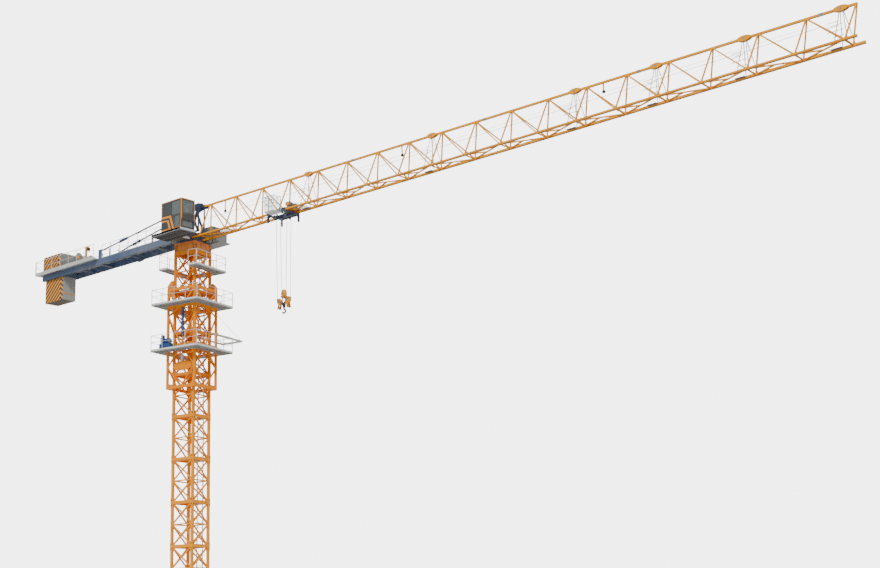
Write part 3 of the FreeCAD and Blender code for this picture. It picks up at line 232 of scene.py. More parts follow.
def new_group(name, inputs, outputs):
    """An empty shader node group with float inputs (name, default) and outputs (name, kind)."""
    group = bpy.data.node_groups.new(name, "ShaderNodeTree")
    for title, default in inputs:
        group.interface.new_socket(name=title, in_out="INPUT",
                                   socket_type="NodeSocketFloat").default_value = default
    for title, kind in outputs:
        group.interface.new_socket(name=title, in_out="OUTPUT", socket_type=kind)
    return group, group.nodes.new("NodeGroupInput"), group.nodes.new("NodeGroupOutput")


def ramp_between(nodes, low, high):
    """A value clamped and stretched so that low becomes 0 and high becomes 1."""
    node = nodes.new("ShaderNodeMapRange")
    node.inputs["From Min"].default_value = low
    node.inputs["From Max"].default_value = high
    node.interpolation_type = "SMOOTHSTEP"
    return node


def weathering_group():
    """Site weather on paint: grime in clouds, rain streaks running down, and small chips.

    Grime is slow noise; streaks are noise stretched eight times down Z; chips are fine noise
    past a threshold. Shade is the paint's own slow fading."""
    group, given, result = new_group(
        "weathering", [("Size", 1.0), ("Chips", 0.66)],
        [("Grime", "NodeSocketFloat"), ("Streaks", "NodeSocketFloat"), ("Chipped", "NodeSocketFloat"),
         ("Fade", "NodeSocketFloat"), ("Height", "NodeSocketFloat")])
    nodes, links = group.nodes, group.links
    place = nodes.new("ShaderNodeTexCoord")
    sized = nodes.new("ShaderNodeVectorMath")
    sized.operation = "SCALE"
    links.new(place.outputs["Object"], sized.inputs[0])
    links.new(given.outputs["Size"], sized.inputs["Scale"])

    def noise(scale, detail, rough, source=None):
        node = nodes.new("ShaderNodeTexNoise")
        node.inputs["Scale"].default_value = scale
        node.inputs["Detail"].default_value = detail
        node.inputs["Roughness"].default_value = rough
        links.new(source or sized.outputs["Vector"], node.inputs["Vector"])
        return node.outputs["Fac"]

    def picked(value, low, high, title):
        node = ramp_between(nodes, low, high)
        links.new(value, node.inputs["Value"])
        links.new(node.outputs["Result"], result.inputs[title])
        return node

    stretched = nodes.new("ShaderNodeMapping")
    stretched.inputs["Scale"].default_value = (1.0, 1.0, 0.12)
    links.new(sized.outputs["Vector"], stretched.inputs["Vector"])
    picked(noise(2.3, 6.0, 0.62), 0.46, 0.78, "Grime")
    picked(noise(11.0, 4.0, 0.6, stretched.outputs["Vector"]), 0.52, 0.82, "Streaks")
    fine = noise(34.0, 5.0, 0.7)
    chips = nodes.new("ShaderNodeMath")
    chips.operation = "GREATER_THAN"
    links.new(fine, chips.inputs[0])
    links.new(given.outputs["Chips"], chips.inputs[1])
    links.new(chips.outputs["Value"], result.inputs["Chipped"])
    picked(noise(0.55, 3.0, 0.5), 0.3, 0.7, "Fade")
    links.new(noise(60.0, 3.0, 0.55), result.inputs["Height"])
    return group


WEATHERING = weathering_group()


def mixed(nodes, links, factor, first, second, blend="MIX", strength=1.0):
    """A colour between two others; the factor's socket is scaled by the strength."""
    scale = nodes.new("ShaderNodeMath")
    scale.operation = "MULTIPLY"
    scale.inputs[1].default_value = strength
    links.new(factor, scale.inputs[0])
    node = nodes.new("ShaderNodeMix")
    node.data_type = "RGBA"
    node.blend_type = blend
    links.new(scale.outputs["Value"], node.inputs["Factor"])
    for socket, colour in ((node.inputs[6], first), (node.inputs[7], second)):
        if isinstance(colour, tuple):
            socket.default_value = colour + (1.0,)
        else:
            links.new(colour, socket)
    return node.outputs[2]


def paint(name, colour, rough=0.42, dirt=(0.10, 0.075, 0.05), grime=0.35, streaks=0.35, chips=0.7,
          chip_colour=(0.16, 0.09, 0.05), fade=0.12, size=1.0, metallic=0.0, bump=0.08, upper=None,
          underside_shade=None, shine=0.5):
    """Weathered paint on steel; an upper (colour, low, high) takes over between two heights.

    Where a face looks down, the paint turns to the underside shade colour: painted shade on the faces that
    look down."""
    material = bpy.data.materials.new(name)
    material.use_nodes = True
    nodes, links = material.node_tree.nodes, material.node_tree.links
    surface = nodes["Principled BSDF"]
    weather = nodes.new("ShaderNodeGroup")
    weather.node_tree = WEATHERING
    weather.inputs["Size"].default_value = size
    weather.inputs["Chips"].default_value = chips
    base = colour
    if upper:
        place = nodes.new("ShaderNodeTexCoord")
        parted = nodes.new("ShaderNodeSeparateXYZ")
        links.new(place.outputs["Object"], parted.inputs["Vector"])
        rise = ramp_between(nodes, upper[1], upper[2])
        links.new(parted.outputs["Z"], rise.inputs["Value"])
        base = mixed(nodes, links, rise.outputs["Result"], colour, upper[0])
    # Painted shade: where a face looks down, its colour is blended towards a darker underside colour.
    if underside_shade:
        facing = nodes.new("ShaderNodeTexCoord")
        axes = nodes.new("ShaderNodeSeparateXYZ")
        links.new(facing.outputs["Normal"], axes.inputs["Vector"])
        downward = ramp_between(nodes, -0.5, -0.9)
        links.new(axes.outputs["Z"], downward.inputs["Value"])
        base = mixed(nodes, links, downward.outputs["Result"], base, underside_shade)
    faded = mixed(nodes, links, weather.outputs["Fade"], base, (1.0, 0.97, 0.9), "MULTIPLY", 1.0)
    faded = mixed(nodes, links, weather.outputs["Fade"], faded, (0.75, 0.72, 0.68), "MIX", fade)
    grimy = mixed(nodes, links, weather.outputs["Grime"], faded, dirt, "MIX", grime)
    streaky = mixed(nodes, links, weather.outputs["Streaks"], grimy, dirt, "MIX", streaks)
    chipped = mixed(nodes, links, weather.outputs["Chipped"], streaky, chip_colour, "MIX", 0.8)
    links.new(chipped, surface.inputs["Base Color"])
    roughness = nodes.new("ShaderNodeMapRange")
    roughness.inputs["To Min"].default_value = rough
    roughness.inputs["To Max"].default_value = min(0.95, rough + 0.3)
    links.new(weather.outputs["Grime"], roughness.inputs["Value"])
    links.new(roughness.outputs["Result"], surface.inputs["Roughness"])
    surface.inputs["Metallic"].default_value = metallic
    surface.inputs["Specular IOR Level"].default_value = shine
    relief = nodes.new("ShaderNodeBump")
    relief.inputs["Strength"].default_value = bump
    relief.inputs["Distance"].default_value = 0.004
    links.new(weather.outputs["Height"], relief.inputs["Height"])
    links.new(relief.outputs["Normal"], surface.inputs["Normal"])
    return material


def dress(material, *names):
    """Give CAD nodes their finished material."""
    for name in names:
        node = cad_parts[name]
        node.data.materials.clear()
        node.data.materials.append(material)


ORANGE_DEEP, ORANGE_AMBER = (0.88, 0.25, 0.0), (0.98, 0.36, 0.0)
FLAT = 0.15
RUST_DIRT = (0.26, 0.09, 0.02)
mast_paint = paint("mast_orange", ORANGE_AMBER, dirt=RUST_DIRT, grime=0.25, streaks=0.3, chips=0.78,
                   fade=0.03, shine=FLAT, upper=(ORANGE_DEEP, 6.5, 10.0))
zinc = paint("bolt_zinc", (0.42, 0.42, 0.40), rough=0.45, metallic=0.7, grime=0.5, fade=0.0, size=3.0)
dark_pin = paint("pin_steel", (0.075, 0.06, 0.05), rough=0.5, metallic=0.4, grime=0.5, fade=0.0, size=3.0)
dress(mast_paint, "base_frame")

BEAM_TOP, BEAM_WIDTH, FLANGE = 0.42, 0.24, 0.03
ARMS = np.radians(45.0 + 90.0 * np.arange(4))


def along_arm(out, aside, level, arm):
    """A point on a base arm: out from the centre, aside from its middle line, at a level."""
    return on_mast([(out, aside, level)], arm)[0]


rib_parts = []
for arm in ARMS:
    for out in (0.35, 0.5, 0.63, 0.95, 1.25):
        for side in (-1, 1):
            low = along_arm(out, side * 0.03, 0.225, arm)
            high = along_arm(out, side * (BEAM_WIDTH / 2 - 0.008), 0.225, arm)
            rib_parts.append(stock(slab(0.012, BEAM_TOP - 2 * FLANGE), low, high, (0, 0, 1)))
    rib_parts.append(stock(slab(0.2, 0.012, 0.002), along_arm(0.466, 0, BEAM_TOP + 0.006, arm),
                           along_arm(0.666, 0, BEAM_TOP + 0.006, arm), (0, 0, 1)))
put("base_ribs", rib_parts, mast_paint, "mast")

HEX_NUT = [(0.034, 0.0), (0.038, 0.004), (0.038, 0.028), (0.034, 0.032)]
anchor_parts = []
for arm in ARMS:
    for out, aside in ((1.14, 0.15), (1.36, -0.15)):
        foot = along_arm(out, aside, 0.0, arm)
        anchor_parts.append(turned([(0.02, 0.0), (0.02, 0.13), (0.017, 0.134)], foot, (0, 0, 1), 12))
        anchor_parts.append(turned([(0.044, 0.03), (0.044, 0.036)], foot, (0, 0, 1), 16))
        for lift in (0.036, 0.07):
            anchor_parts.append(turned(HEX_NUT, foot + [0, 0, lift], (0, 0, 1), 6))
put("foundation_anchors", anchor_parts, zinc, "mast")

# ---------------------------------------------------------------- mast
# Nine welded lattice sections, pinned leg to leg. Leg joints have fishplate sleeves with pins on
# their outer faces, cut short or left off in the bands that the cage's guides sweep. Small plates
# stiffen the crossings of the X bracing.

MAST_BASE, SECTION, SECTIONS = 0.815, 1.375, 9
HALF, LEG = 0.40, 0.08
dress(mast_paint, "mast_front", "mast_right", "mast_back", "mast_left", "landings")
CORNERS = np.array([(1, 1), (-1, 1), (-1, -1), (1, -1)]) * HALF
joint_levels = MAST_BASE + SECTION * np.arange(SECTIONS + 1)
QUARTERS = np.arange(4) * math.pi / 2
SLEEVE, SLEEVE_END, PIN_LIFT = LEG + 0.016, 0.13, 0.075
GUIDE_SWEEPS = ((8.085, 8.995), (11.29, 12.2))
sleeve_parts, pin_parts = [], []
for level in joint_levels[:-1]:
    low, high = max(level - SLEEVE_END, BEAM_TOP + 0.02), level + SLEEVE_END
    for bottom, top in GUIDE_SWEEPS:
        low = top + 0.005 if bottom < low < top < high else low
    if any(bottom < high < top for bottom, top in GUIDE_SWEEPS):
        continue
    for x, y in CORNERS:
        sleeve_parts.append(mast_bar(slab(SLEEVE, SLEEVE, 0.006), (x, y, low), (x, y, high), (0, 1, 0)))
        for lift in (-PIN_LIFT, PIN_LIFT) if low < level - PIN_LIFT else (PIN_LIFT,):
            for axis in ((1, 0, 0), (0, 1, 0)):
                out = np.array([np.sign(x), np.sign(y), 0]) * axis
                face = np.array([x, y, level + lift]) + out * (LEG / 2 + 0.006)
                pin_parts.append(mast_stud([(0.02, 0), (0.02, 0.010), (0.013, 0.013)], face, out, 12))
put("leg_sleeves", sleeve_parts, mast_paint, "mast")
put("leg_pins", pin_parts, dark_pin, "mast")

plate_parts = []
crossings = np.concatenate([joint_levels[:-1] + SECTION * share for share in (0.25, 0.75)])
PLATE = slab(0.06, 0.06, 0.016)
for turn in QUARTERS:
    start = np.stack([np.zeros_like(crossings), np.full_like(crossings, -HALF - 0.024), crossings], axis=1)
    plate_parts.append(mast_bar(PLATE, start, start + [0, 0.048, 0], extra=turn))
put("crossing_plates", plate_parts, mast_paint, "mast")

# ---------------------------------------------------------------- access ladder
# One straight ladder of round steel rungs runs up inside the mast. Brackets hold its two
# side rails to a bar across each landing.

rail_white = paint("galvanised_rail", (0.60, 0.64, 0.65), rough=0.5, metallic=0.0, grime=0.25, streaks=0.25,
                   chips=0.74, chip_colour=(0.25, 0.2, 0.16), fade=0.05, size=2.0)
# Painted shade: the deck's faces that look down are darkened to grey.
deck_steel = paint("galvanised_deck", (0.93, 0.95, 0.95), rough=0.6, metallic=0.0, grime=0.22, streaks=0.15,
                   chips=0.72, fade=0.05, size=1.6, underside_shade=(0.40, 0.42, 0.42), bump=0.3)
under_steel = paint("deck_framing", (0.34, 0.36, 0.36), rough=0.7, grime=0.4, fade=0.05, size=1.6)
dress(rail_white, "mast_ladder", "mast_platform_rails", "upper_platform_rails", "lower_platform_rails",
      "counter_jib_rails", "loading_rails")
dress(deck_steel, "mast_platform", "upper_platform", "lower_platform", "counter_jib_deck")

LADDER_X, LADDER_Y = 0.14, 0.308
bracket_parts = []
for level in joint_levels[1:-1]:
    for side in (-0.11, 0.11):
        x, z = LADDER_X + side, level - 0.02
        bracket_parts.append(mast_bar(slab(0.012, 0.03), (x, LADDER_Y + 0.008, z), (x, HALF - 0.036, z)))
put("ladder_brackets", bracket_parts, rail_white, "mast")

# ---------------------------------------------------------------- slewing seat
# A box of plate carries the slewing ring on the mast's four legs. Posts at its corners take
# the leg pins, and a lip and ribs stiffen its sides.

seat_paint = paint("seat_orange", (0.78, 0.24, 0.006), grime=0.5, streaks=0.75, chips=0.7,
                   dirt=(0.22, 0.06, 0.015), upper=((0.70, 0.18, 0.006), 13.3, 13.5), size=1.4)
dress(seat_paint, "slewing_seat")
SEAT_LOW, SEAT_TOP, SEAT_HALF = 13.19, 13.50, 0.425
seat_parts, seat_pins = [], []
for turn in QUARTERS:
    for x in (-0.385, 0.385):
        seat_parts.append(mast_bar(slab(0.09, 0.02, 0.004), (x, -SEAT_HALF - 0.005, SEAT_LOW + 0.005),
                                   (x, -SEAT_HALF - 0.005, SEAT_TOP - 0.004), (0, 1, 0), turn))
        for level in (SEAT_LOW + 0.06, SEAT_LOW + 0.16):
            seat_pins.append(mast_stud([(0.024, 0), (0.024, 0.008), (0.016, 0.012)],
                                       (x, -SEAT_HALF - 0.013, level), (0, -1, 0), 14, turn))
    for low, high in ((0.0, 0.028), (0.285, 0.305)):
        level = SEAT_LOW + (low + high) / 2
        seat_parts.append(mast_bar(slab(0.026, high - low, 0.003), (-0.34, -SEAT_HALF, level),
                                   (0.34, -SEAT_HALF, level), extra=turn))
    for x in (-0.13, 0.13):
        seat_parts.append(mast_bar(slab(0.012, 0.026), (x, -SEAT_HALF, SEAT_LOW + 0.03),
                                   (x, -SEAT_HALF, SEAT_LOW + 0.285), (0, 1, 0), turn))
put("seat_ribs", seat_parts, seat_paint, "mast")
put("seat_pins", seat_pins, dark_pin, "mast")

# ---------------------------------------------------------------- working platforms
# Three ring platforms of open steel floor go round the mast and the climbing cage. Angle
# bearers and outriggers under each floor carry it, and rail posts are clamped to its edge.


def deck_frame(name, body, level, inner, outer, opening=0.0):
    """Bearers under a square ring floor: two runs each side, and cross bars between them.

    An opening leaves out the middle of the front side."""
    parts = []
    for turn in QUARTERS:
        runs = [(-outer, outer)] if turn or not opening else [(-outer, -opening / 2), (opening / 2, outer)]
        for reach in (inner + 0.012, outer - 0.012):
            for low, high in runs:
                parts.append(mast_bar(slab(0.016, 0.026, 0.003), (low, -reach, level - 0.013),
                                      (high, -reach, level - 0.013), extra=turn))
        crossings = np.arange(-outer + 0.08, outer - 0.05, 0.16)
        if opening and not turn:
            crossings = crossings[np.abs(crossings) > opening / 2 + 0.01]
        starts = np.stack(np.broadcast_arrays(crossings, -outer + 0.01, level - 0.012), axis=1)
        parts.append(mast_bar(slab(0.012, 0.024), starts, starts + [0, outer - inner - 0.02, 0], extra=turn))
    return put(name, parts, under_steel, body)


deck_frame("mast_deck_frame", "mast", 12.575, 0.44, 0.785, 0.84)
deck_frame("upper_deck_frame", "climbing_cage", 11.37, 0.585, 0.95)
deck_frame("lower_deck_frame", "climbing_cage", 9.835, 0.585, 0.95)


def post_clamps(name, body, level, reach):
    """Small bolted clamps where the rail posts stand on the edge of a floor."""
    starts = np.array([(side * reach * 0.86, -reach, level + 0.001) for side in (-1, 1)])
    parts = []
    for turn in QUARTERS:
        parts.append(mast_bar(slab(0.034, 0.03, 0.004), starts, starts + [0, 0, 0.03], (0, 1, 0), turn))
    return put(name, parts, zinc, body)


post_clamps("mast_post_clamps", "mast", 12.605, 0.765)
post_clamps("upper_post_clamps", "climbing_cage", 11.40, 0.93)
post_clamps("lower_post_clamps", "climbing_cage", 9.865, 0.93)

# ---------------------------------------------------------------- climbing cage
# The cage is welded from square tube round the mast and rolls on it as a new section goes in.
# Its two corner gussets are thick plates, bolted through with large pins.

cage_paint = paint("cage_orange", (0.92, 0.29, 0.0), dirt=RUST_DIRT, grime=0.25, streaks=0.3, chips=0.78,
                   fade=0.03, shine=FLAT, size=1.3)
dress(cage_paint, "cage_front", "cage_right", "cage_back", "cage_left", "jack_yoke")
CAGE_HALF = 0.55
gusset_bolts = []
for turn in (0.0, math.pi):
    for x, level in ((-0.44, 11.74), (-0.54, 11.74), (-0.44, 12.0), (-0.54, 12.0)):
        gusset_bolts.append(mast_stud([(0.02, 0), (0.02, 0.010), (0.012, 0.014)],
                                      (x, -CAGE_HALF - 0.036, level), (0, -1, 0), 10, turn))
put("gusset_bolts", gusset_bolts, dark_pin, "climbing_cage")

node_parts = []
for turn in QUARTERS:
    for level in (8.635, 9.3, 10.0, 11.32, 11.9):
        for x in (0.03 - CAGE_HALF, CAGE_HALF - 0.03):
            node_parts.append(mast_bar(slab(0.07, 0.008, 0.003), (x, -CAGE_HALF - 0.034, level - 0.05),
                                       (x, -CAGE_HALF - 0.034, level + 0.05), (0, 1, 0), turn))
put("cage_node_plates", node_parts, cage_paint, "climbing_cage")

# ---------------------------------------------------------------- climbing jack and power pack
# A long hydraulic cylinder pushes the cage up on a yoke that steps from rung to rung. Its
# pump, motor and oil tank stand on the lower platform.

blue = paint("hydraulic_blue", (0.006, 0.065, 0.24), rough=0.32, grime=0.25, streaks=0.2, chips=0.74,
             fade=0.05, size=3.0)
chrome = paint("jack_rod_chrome", (0.72, 0.73, 0.75), rough=0.16, metallic=1.0, grime=0.15, streaks=0.1,
               chips=0.9, fade=0.0, bump=0.02)
machine = paint("machine_grey", (0.22, 0.23, 0.235), rough=0.5, metallic=0.2, grime=0.4, fade=0.06, size=3.0)
black_steel = paint("black_steel", (0.025, 0.026, 0.028), rough=0.4, metallic=0.3, grime=0.4, fade=0.02,
                    size=4.0)
dress(blue, "jack_barrel", "power_pack")
dress(chrome, "jack_rod")


def collars(places, radius, width, axis=(0, 0, 1), sides=20):
    """Raised rings with softened edges, each about a centre."""
    soft = width * 0.18
    return turned([(radius - soft, -width / 2), (radius, -width / 2 + soft), (radius, width / 2 - soft),
                   (radius - soft, width / 2)], places, axis, sides)


put("jack_collars", [collars(on_mast([(0, -0.4925, z) for z in (10.345, 10.45, 11.20)]), 0.054, 0.05)],
    machine, "climbing_cage")
oil_pipe = [mast_bar(disc(0.006, 8), (x, -0.552, 10.38), (x, -0.552, 10.14), (0, 1, 0))
            for x in (-0.018, 0.018)]
put("jack_ports", oil_pipe, black_steel, "climbing_cage")

pack_parts = [collars(on_mast([(x, -0.77, 10.135) for x in np.arange(-0.56, -0.34, 0.022)]), 0.097, 0.007,
                      on_mast([(1, 0, 0)]), 20)]
put("motor_fins", pack_parts, blue, "climbing_cage")
lever_low, lever_high = on_mast([(-0.23, -0.86, 10.12)]), on_mast([(-0.23, -0.90, 10.24)])
valve_parts = [stock(slab(0.06, 0.05, 0.006), on_mast([(-0.24, -0.84, 10.055)]),
                     on_mast([(-0.24, -0.84, 10.14)]), (0, 1, 0)),
               stock(disc(0.006, 8), lever_low, lever_high, (0, 1, 0)),
               turned([(0.004, -0.012), (0.014, -0.006), (0.014, 0.006), (0.004, 0.012)],
                      lever_high, (0, 0, 1), 10),
               turned([(0.028, 0), (0.028, 0.012), (0.02, 0.02)],
                      on_mast([(-0.33, -0.70, 10.05)]), (0, 0, 1), 16)]
put("pack_valve", valve_parts, machine, "climbing_cage")

# ---------------------------------------------------------------- turntable and tower head
# The slewing platform turns on the bolted ring. Four plates rise from it to the stay pin at
# the top and to the pin that carries the jib's upper chord.

navy = paint("navy_paint", (0.018, 0.042, 0.115), rough=0.45, dirt=(0.03, 0.03, 0.035), grime=0.25,
             streaks=0.25, chips=0.74, chip_colour=(0.12, 0.07, 0.05), fade=0.10, size=1.6)
# Painted shade: the girders' faces that look down turn near black.
navy_girder = paint("girder_navy", (0.055, 0.10, 0.215), rough=0.48, dirt=(0.03, 0.035, 0.05), grime=0.25,
                    streaks=0.3,
                    chips=0.75, chip_colour=(0.10, 0.08, 0.08), fade=0.12, underside_shade=(0.012, 0.018, 0.032))
dress(navy, "turntable", "tower_head", "stays", "trolley_frame")
dress(navy_girder, "counter_jib_frame")

around = np.arange(36) * math.pi / 18
ring_bolts = np.stack([0.372 * np.cos(around), 0.372 * np.sin(around), np.full(36, 13.5705)], axis=1)
put("slewing_ring_bolts", [turned([(0.013, 0), (0.013, 0.010), (0.010, 0.013)], ring_bolts, (0, 0, 1), 6)],
    zinc, "upper_works")
HEAD_PINS = (((0.57, 14.717), 0.032), ((0.08, 14.807), 0.026), ((0.41, 13.89), 0.026),
             ((-0.25, 13.89), 0.026))
head_pins = []
for (x, z), radius in HEAD_PINS:
    for side in (-1, 1):
        head_pins.append(turned([(radius, 0), (radius, 0.012), (radius * 0.7, 0.016)], [(x, side * 0.14, z)],
                                (0, side, 0), 16))
put("head_pins", head_pins, dark_pin, "upper_works")
slew_motor = [turned([(0.07, 0), (0.07, 0.11), (0.055, 0.13), (0.055, 0.26), (0.045, 0.28)],
                     [(0.16, side * 0.25, 13.86)], (0, 0, 1), 20)
              for side in (-1, 1)]
put("slewing_motors", slew_motor, machine, "upper_works")

# ---------------------------------------------------------------- stays
# Flat bar stays run from the head's pin back to the counter-jib's lugs. Each is in two
# lengths, joined by link plates with a pin at either end.

STAY_HEAD, STAY_FOOT = np.array([0.08, 0.183, 14.807]), np.array([-4.59, 0.312, 14.15])
stay_pins = []
for side in (1, -1):
    for share in (0.0, 0.703, 0.779, 1.0):
        place = (STAY_HEAD + (STAY_FOOT - STAY_HEAD) * share) * [1, side, 1]
        stay_pins.append(turned([(0.014, -0.034), (0.014, 0.034)], place, (0, 1, 0), 12))
put("stay_pins", stay_pins, dark_pin, "upper_works")

# ---------------------------------------------------------------- driver's cab
# A panelled steel box, dark grey with raised orange trim, with large windows in dark frames.
# Inside are the driver's seat and a control desk.

cab_paint = paint("cab_grey", (0.042, 0.052, 0.062), rough=0.42, dirt=(0.08, 0.085, 0.085), grime=0.2,
                  streaks=0.25, chips=0.85, fade=0.04, size=1.8)
cab_orange = paint("cab_trim_orange", (0.95, 0.33, 0.0), shine=FLAT, dirt=RUST_DIRT, grime=0.15, streaks=0.15,
                   chips=0.82, size=2.0)
frame_grey = paint("window_frame", (0.06, 0.063, 0.066), rough=0.5, grime=0.3, chips=0.8, size=3.0)
dress(cab_paint, "cab_shell")

glass = paint("cab_glass", (0.17, 0.21, 0.22), rough=0.05, dirt=(0.5, 0.5, 0.47), grime=0.12, streaks=0.15,
              chips=0.95, fade=0.0, bump=0.0)
glass.node_tree.nodes["Principled BSDF"].inputs["Alpha"].default_value = 0.72
dress(glass, "cab_windows")


def plate(outline, axis, low, high):
    """A flat plate: its outline in the other two axes, in order, carried along one axis."""
    outline = np.asarray(outline, float)
    if axis != "y":
        outline = outline * [-1, 1]
    area = np.sum(outline[:, 0] * np.roll(outline[:, 1], -1) - outline[:, 1] * np.roll(outline[:, 0], -1))
    outline = outline if area > 0 else outline[::-1]
    along = {"x": (1, 0, 0), "y": (0, 1, 0), "z": (0, 0, 1)}[axis]
    across = (0, 1, 0) if axis == "z" else (0, 0, 1)
    return stock(outline, np.multiply(along, low), np.multiply(along, high), across)


CAB_NEAR, CAB_FAR, CAB_FRONT, CAB_TOP, TRIM_LOW = -1.34, -0.78, 0.985, 14.65, 14.622
TRIM = [[(-0.015, 14.10), (0.40, 14.08), (0.56, 13.655), (0.93, 13.655), (0.93, 13.685), (0.64, 13.685),
         (0.465, 14.14), (-0.015, 14.165)],
        [(-0.015, 13.99), (0.29, 13.96), (0.375, 13.715), (-0.015, 13.715), (-0.015, 13.675), (0.475, 13.68),
         (0.35, 14.005), (-0.015, 14.035)],
        [(-0.015, 14.165), (0.018, 14.165), (0.018, CAB_TOP), (-0.015, CAB_TOP)],
        [(0.018, TRIM_LOW), (CAB_FRONT, TRIM_LOW), (CAB_FRONT, CAB_TOP), (0.018, CAB_TOP)],
        [(0.92, 13.65), (0.945, 13.65), (CAB_FRONT, 13.95), (CAB_FRONT, TRIM_LOW), (0.96, TRIM_LOW),
         (0.96, 13.95)]]
SKIN = 0.004
trim_parts = [plate(outline, "y", low, low + SKIN) for outline in TRIM for low in (CAB_NEAR - SKIN, CAB_FAR)]
trim_parts.append(plate([(CAB_NEAR, TRIM_LOW), (CAB_FAR, TRIM_LOW), (CAB_FAR, CAB_TOP), (CAB_NEAR, CAB_TOP)],
                        "x", CAB_FRONT, CAB_FRONT + SKIN))
for low, high in ((CAB_NEAR, CAB_NEAR + 0.022), (CAB_FAR - 0.022, CAB_FAR)):
    trim_parts.append(plate([(low, 13.95), (high, 13.95), (high, TRIM_LOW), (low, TRIM_LOW)], "x", CAB_FRONT,
                            CAB_FRONT + SKIN))
put("cab_trim", trim_parts, cab_orange, "upper_works")


def window_border(low, high, width):
    """Outlines of the four strips round a window, in two axes."""
    (a, c), (b, d) = low, high
    return [[(a - width, c - width), (b + width, c - width), (b + width, c), (a - width, c)],
            [(a - width, d), (b + width, d), (b + width, d + width), (a - width, d + width)],
            [(a - width, c), (a, c), (a, d), (a - width, d)],
            [(b, c), (b + width, c), (b + width, d), (b, d)]]


SIDE_PANES = (((0.485, 14.15), (0.929, 14.60)), ((0.625, 13.71), (0.88, 14.10)))
border_parts = []
for low, high in SIDE_PANES:
    for outline in window_border(low, high, 0.018):
        border_parts += [plate(outline, "y", near - 0.006, near + 0.002)
                         for near in (CAB_NEAR, CAB_FAR + 0.004)]
for outline in window_border((-1.284, 14.15), (-0.836, 14.60), 0.018):
    border_parts.append(plate(outline, "x", 0.984, 0.992))
for outline in window_border((-1.284, 13.99), (-0.836, 14.10), 0.018):
    border_parts.append(plate(outline, "x", 0.984, 0.990))
border_parts.append(block((0.955, CAB_NEAR + 0.02, 14.105), (0.992, CAB_FAR - 0.02, 14.145)))
put("window_frames", border_parts, frame_grey, "upper_works")

panel_lines = [plate([(0.035, z - 0.004), (0.44, z - 0.004), (0.44, z + 0.004), (0.035, z + 0.004)], "y",
                     near, near + SKIN)
               for z in (14.185, 14.60) for near in (CAB_NEAR - SKIN, CAB_FAR)]
panel_lines.append(plate([(-1.20, 13.72), (-0.90, 13.72), (-0.90, 14.52), (-1.20, 14.52)], "x", -0.021,
                         -0.013))
panel_lines.append(block((-0.03, -0.935, 14.06), (-0.02, -0.915, 14.20), 0.003))
put("cab_panels", panel_lines, frame_grey, "upper_works")


def cushion(centre, size, power=3.2, rows=18, columns=30):
    """A crowned pad, closed at both poles.

    A superellipsoid: each point is centre + half size * signed powers of the cosine and sine
    of a latitude and a longitude, so its faces are full and its corners are round."""
    bend = 2.0 / power
    latitude = np.linspace(-math.pi / 2, math.pi / 2, rows)[1:-1, None]
    longitude = (np.arange(columns) * 2 * math.pi / columns)[None]

    def eased(value):
        return np.sign(value) * np.abs(value) ** bend

    shape = [eased(np.cos(latitude)) * eased(np.cos(longitude)),
             eased(np.cos(latitude)) * eased(np.sin(longitude)),
             eased(np.sin(latitude)) * np.ones_like(longitude)]
    grid = np.stack(shape, axis=2).reshape(-1, 3)
    points = np.concatenate([grid, [(0, 0, -1), (0, 0, 1)]]) * np.asarray(size) / 2 + np.asarray(centre)
    here = np.arange(columns)
    after = (here + 1) % columns
    level = (np.arange(rows - 3) * columns)[:, None]
    walls = np.stack([level + here, level + after, level + columns + after, level + columns + here],
                     2).reshape(-1, 4)
    top = (rows - 3) * columns
    foot, crown = np.full(columns, len(grid)), np.full(columns, len(grid) + 1)
    return points, [walls, np.stack([foot, after, here], 1), np.stack([crown, top + here, top + after], 1)]


seat_cloth = paint("seat_cloth", (0.035, 0.037, 0.042), rough=0.85, grime=0.3, chips=0.95, fade=0.05,
                   size=6.0, bump=0.5)
for name, centre, size in (("seat_cushion", (0.36, -1.06, 13.93), (0.25, 0.24, 0.08)),
                           ("seat_back", (0.245, -1.06, 14.12), (0.08, 0.24, 0.34)),
                           ("seat_headrest", (0.235, -1.06, 14.345), (0.06, 0.14, 0.09))):
    put(name, [cushion(centre, size)], seat_cloth, "upper_works", 80)
desk_parts = [turned([(0.05, 0), (0.04, 0.02), (0.025, 0.10), (0.03, 0.195)], [(0.36, -1.06, 13.695)],
                     (0, 0, 1), 16),
              block((0.22, -1.25, 13.86), (0.50, -1.20, 14.02), 0.01),
              block((0.22, -0.92, 13.86), (0.50, -0.87, 14.02), 0.01),
              block((0.74, -1.20, 13.90), (0.86, -0.92, 14.0), 0.012),
              block((0.78, -1.08, 13.69), (0.82, -1.04, 13.90), 0.006)]
for y in (-1.225, -0.895):
    desk_parts.append(turned([(0.005, 0), (0.005, 0.06), (0.013, 0.07), (0.013, 0.09), (0.005, 0.10)],
                             [(0.46, y, 14.02)], (0, 0, 1), 12))
put("cab_controls", desk_parts, black_steel, "upper_works")
put("cab_visor", [block((0.40, -1.30, CAB_TOP - 0.004), (0.60, -0.82, CAB_TOP + 0.03), 0.01),
                  turned([(0.03, 0), (0.05, 0.01), (0.05, 0.03), (0.02, 0.045)], [(0.2, -1.06, CAB_TOP)],
                         (0, 0, 1), 18)],
    frame_grey, "upper_works")
